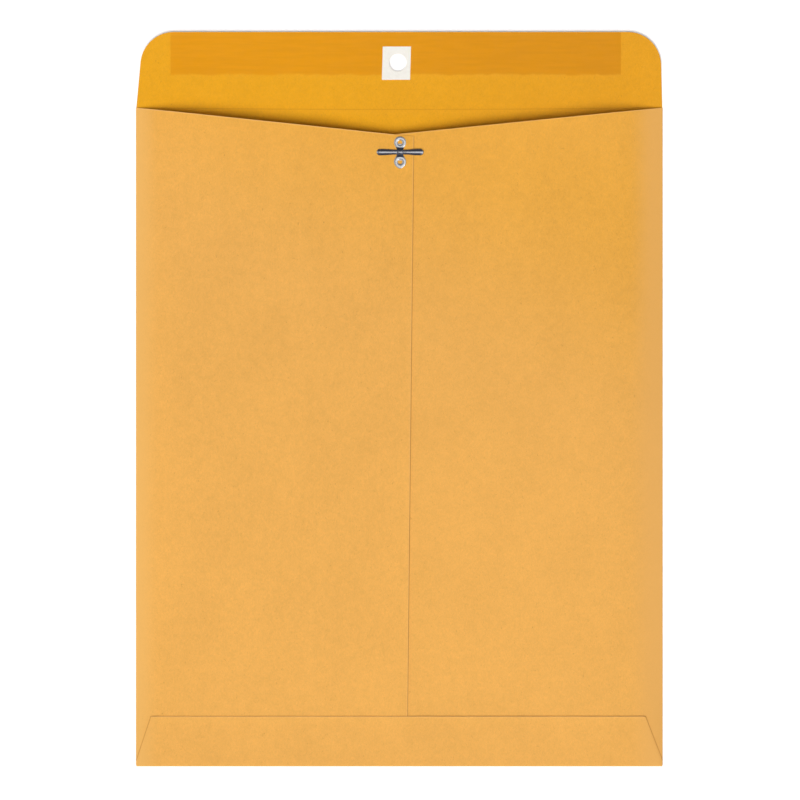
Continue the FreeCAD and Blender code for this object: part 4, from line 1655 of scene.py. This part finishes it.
    def build_prong(self, side: Side) -> bpy.types.Object:
        """Builds and dresses one prong, a hollow rib with a round tip.

        Args:
            side: The prong.

        Returns:
            The finished piece.
        """
        length = self.reach - self.root
        ends = [length - self.tip_round * (1 - math.sin(math.pi / 2 * i / 9)) for i in range(10)]
        roots = [-self.root_radius * math.cos(math.pi / 2 * i / 5) for i in range(6)]
        xs = roots + graded(0.0, ends[0], 0.3, 0.5, 0.8)[1:] + ends[1:]
        across = [math.sin(math.pi / 2 * (i / 11 - 1)) for i in range(23)]
        bm, spots = stationed_grid(len(xs), len(across))
        for vert in bm.verts:
            column, row = spots[vert.index]
            x, t = xs[column], across[row]
            vert.co = (x, t * self.prong_half(x), self.prong_rise(x) * self.arch(t) - self.root_radius)
        bmesh.ops.remove_doubles(bm, verts=bm.verts[:], dist=1e-4)
        bmesh.ops.recalc_face_normals(bm, faces=bm.faces[:])
        if bm.faces[:][len(bm.faces) // 2].normal.z < 0:
            bmesh.ops.reverse_faces(bm, faces=bm.faces[:])
        if side is Side.LEFT:
            bmesh.ops.rotate(bm, verts=bm.verts[:], cent=(0, 0, 0), matrix=Matrix.Rotation(math.pi, 3, "Z"))
        hinge = self.seat + Vector((side.value * self.root, 0, self.hinge_up))
        bmesh.ops.translate(bm, verts=bm.verts[:], vec=hinge)
        name = f"prong_{side.name.lower()}"
        return finish_piece(
            bm,
            f"{name}_rib",
            (self.rib_steel,),
            body=name,
            replaces=name,
            wall=self.rib_wall,
            offset=-1.0,
        )


class LightName(Enum):
    """The studio's lamps."""

    OVERHEAD = "overhead_softbox"
    KEY = "low_key_softbox"
    GLINT = "right_glint_card"


@dataclass(frozen=True)
class Lamp:
    """A soft far lamp: where it stands in the sky, how wide it is and how strong."""

    name: LightName
    towards: Colour
    width: float
    strength: float
    on_paper: bool
    in_gloss: bool

    def hang(self) -> bpy.types.Object:
        """Returns the lamp, pointed at the envelope."""
        data = bpy.data.lights.new(self.name.value, "SUN")
        data.energy = self.strength
        data.angle = math.radians(self.width)
        lamp = set_out(self.name.value, data)
        direction = Vector(self.towards).normalized()
        lamp.location = direction * 2
        lamp.rotation_euler = (-direction).to_track_quat("-Z", "Y").to_euler()
        lamp.visible_diffuse = self.on_paper
        lamp.visible_glossy = self.in_gloss
        return lamp


@dataclass
class Studio:
    """The pale floor, the sky, the lamps and the camera straight above."""

    floor_reach: float = 14.0
    floor_drop: float = 0.02
    floor_colour: Colour = (0.93, 0.93, 0.93)
    floor_glow: float = 0.15
    back_glow: float = 0.20
    side_glow: float = 0.70
    glow_turn: float = -0.35
    glow_span: tuple[float, float] = (0.15, 0.75)
    camera_up: float = 6000.0
    camera_x: float = 0.39
    camera_y: float = 20.61
    pixels_per_mm: float = 1.795
    frame_pixels: float = 800.0
    sensor: float = 36.0
    lamps: tuple[Lamp, ...] = (
        Lamp(LightName.OVERHEAD, (0.17, -0.13, 1.0), 36.0, 0.22, False, True),
        Lamp(LightName.KEY, (-0.155, -0.41, 0.90), 52.0, 3.17, True, False),
        Lamp(LightName.GLINT, (0.55, -0.60, 0.62), 36.0, 0.62, False, True),
    )

    def lay_floor(self) -> bpy.types.Object:
        """Lays the floor, which shows white to the camera and keeps the shadows.

        Returns:
            The floor.
        """
        bm = bmesh.new()
        bmesh.ops.create_grid(bm, x_segments=4, y_segments=4, size=self.floor_reach)
        bmesh.ops.translate(bm, verts=bm.verts[:], vec=(0, 0, -self.floor_drop * MM))
        floor = set_out("floor", as_mesh(bm, "floor"))
        sheet = NodeSheet("pale_floor")
        path = sheet.add("LightPath")
        seen = sheet.sum("MAXIMUM", path.outputs["Is Camera Ray"], path.outputs["Is Glossy Ray"])
        seen = sheet.sum("MAXIMUM", seen, path.outputs["Is Transmission Ray"])
        paint = sheet.add("BsdfDiffuse", Color=self.floor_colour)
        glow = sheet.add("Emission", Strength=sheet.sum("MULTIPLY", seen, self.floor_glow))
        sheet.close("OutputMaterial", paint, glow)
        floor.data.materials.append(sheet.material)
        return floor

    def paint_sky(self) -> bpy.types.World:
        """Paints the sky: pale at the horizon, dim above it, with pale screens beside the metal.

        Returns:
            The world.
        """
        world = bpy.data.worlds.new("studio_sky")
        bpy.context.scene.world = world
        world.use_nodes = True
        board = NodeBoard(world.node_tree)
        parts = board.add("SeparateXYZ", Vector=board.add("TexCoord").outputs["Generated"])
        ramp = board.add("ValToRGB", Fac=board.sum("MULTIPLY_ADD", parts.outputs["Z"], 0.5, 0.5))
        stops = ((0.0, 0.9), (0.54, 1.0), (0.58, 0.10), (0.93, 0.085), (0.985, 0.16))
        ramp.color_ramp.interpolation = "EASE"
        while len(ramp.color_ramp.elements) < len(stops):
            ramp.color_ramp.elements.new(0.5)
        for element, (place, level) in zip(ramp.color_ramp.elements, stops):
            element.position = place
            element.color = (level, level, level * 1.02, 1)
        sky = board.add("Background", Color=ramp.outputs["Color"], Strength=1.0)
        aside = board.sum("ABSOLUTE", parts.outputs["X"])
        aside = board.sum("MULTIPLY_ADD", parts.outputs["Y"], self.glow_turn, aside)
        share = board.spread(aside, *self.glow_span, self.back_glow, self.side_glow)
        mirrored = board.sum("MULTIPLY", share, board.add("LightPath").outputs["Is Glossy Ray"])
        board.close("OutputWorld", sky, board.add("Background", Strength=mirrored))
        return world

    def set_camera(self) -> bpy.types.Object:
        """Hangs the camera over the envelope, square to it, with a long lens.

        Returns:
            The camera.
        """
        data = bpy.data.cameras.new("camera")
        data.sensor_width = self.sensor
        data.lens = self.pixels_per_mm * self.camera_up * self.sensor / self.frame_pixels
        data.clip_start = 0.05
        data.clip_end = 60
        data.dof.use_dof = False
        camera = set_out("camera", data)
        camera.location = (self.camera_x * MM, self.camera_y * MM, self.camera_up * MM)
        bpy.context.scene.camera = camera
        return camera

    def build(self) -> None:
        """Builds the studio round the envelope."""
        self.lay_floor()
        self.paint_sky()
        for lamp in self.lamps:
            lamp.hang()
        self.set_camera()
        bpy.context.scene.view_settings.view_transform = "Standard"


INNER_TONES = {
    "base": (0.818, 0.373, 0.0135),
    "drift": (0.772, 0.343, 0.0165),
    "drift_x": 1.0,
    "drift_y": 0.0,
    "drift_from": -60.0,
    "drift_to": 120.0,
    "pale": (0.89, 0.47, 0.06),
    "cloud": 0.05,
}
OUTSIDE = OuterFace("kraft_outside", base=(0.842, 0.424, 0.096), drift=(0.815, 0.392, 0.056))
INSIDE = InnerFace("kraft_inside", **INNER_TONES)
GUM = GumFace("flap_gum", **INNER_TONES)
TIN = TinnedSteel()
# The ribs' painted dark reflection lies on their flanks, away from the crest.
RIB_TIN = TinnedSteel(
    "rib_steel", base=(0.56, 0.57, 0.61), dark_reflection=(0.12, 0.125, 0.16), dark_at=0.90, bright_at=0.20
)


def main() -> None:
    """Builds every piece and the studio in order."""
    logging.basicConfig(level=logging.INFO, format="%(name)s: %(message)s")
    sheet = FoldedSheet(SHAPE, OUTSIDE.material(), INSIDE.material(), CutEdge().material())
    sheet.build()
    flap = FlapDressing(SHAPE, GUM.material(), WhitePaper().material())
    flap.lay_gum()
    flap.stick_patch()
    glue = GlueLines(SHAPE, GlueFilm().material())
    glue.build_seam()
    glue.build_bottom()
    clasp = Clasp(SHAPE, TIN.material(), RIB_TIN.material())
    clasp.build_base()
    clasp.build_prong(Side.RIGHT)
    clasp.build_prong(Side.LEFT)
    Studio().build()


if __name__ == "__main__":
    main()
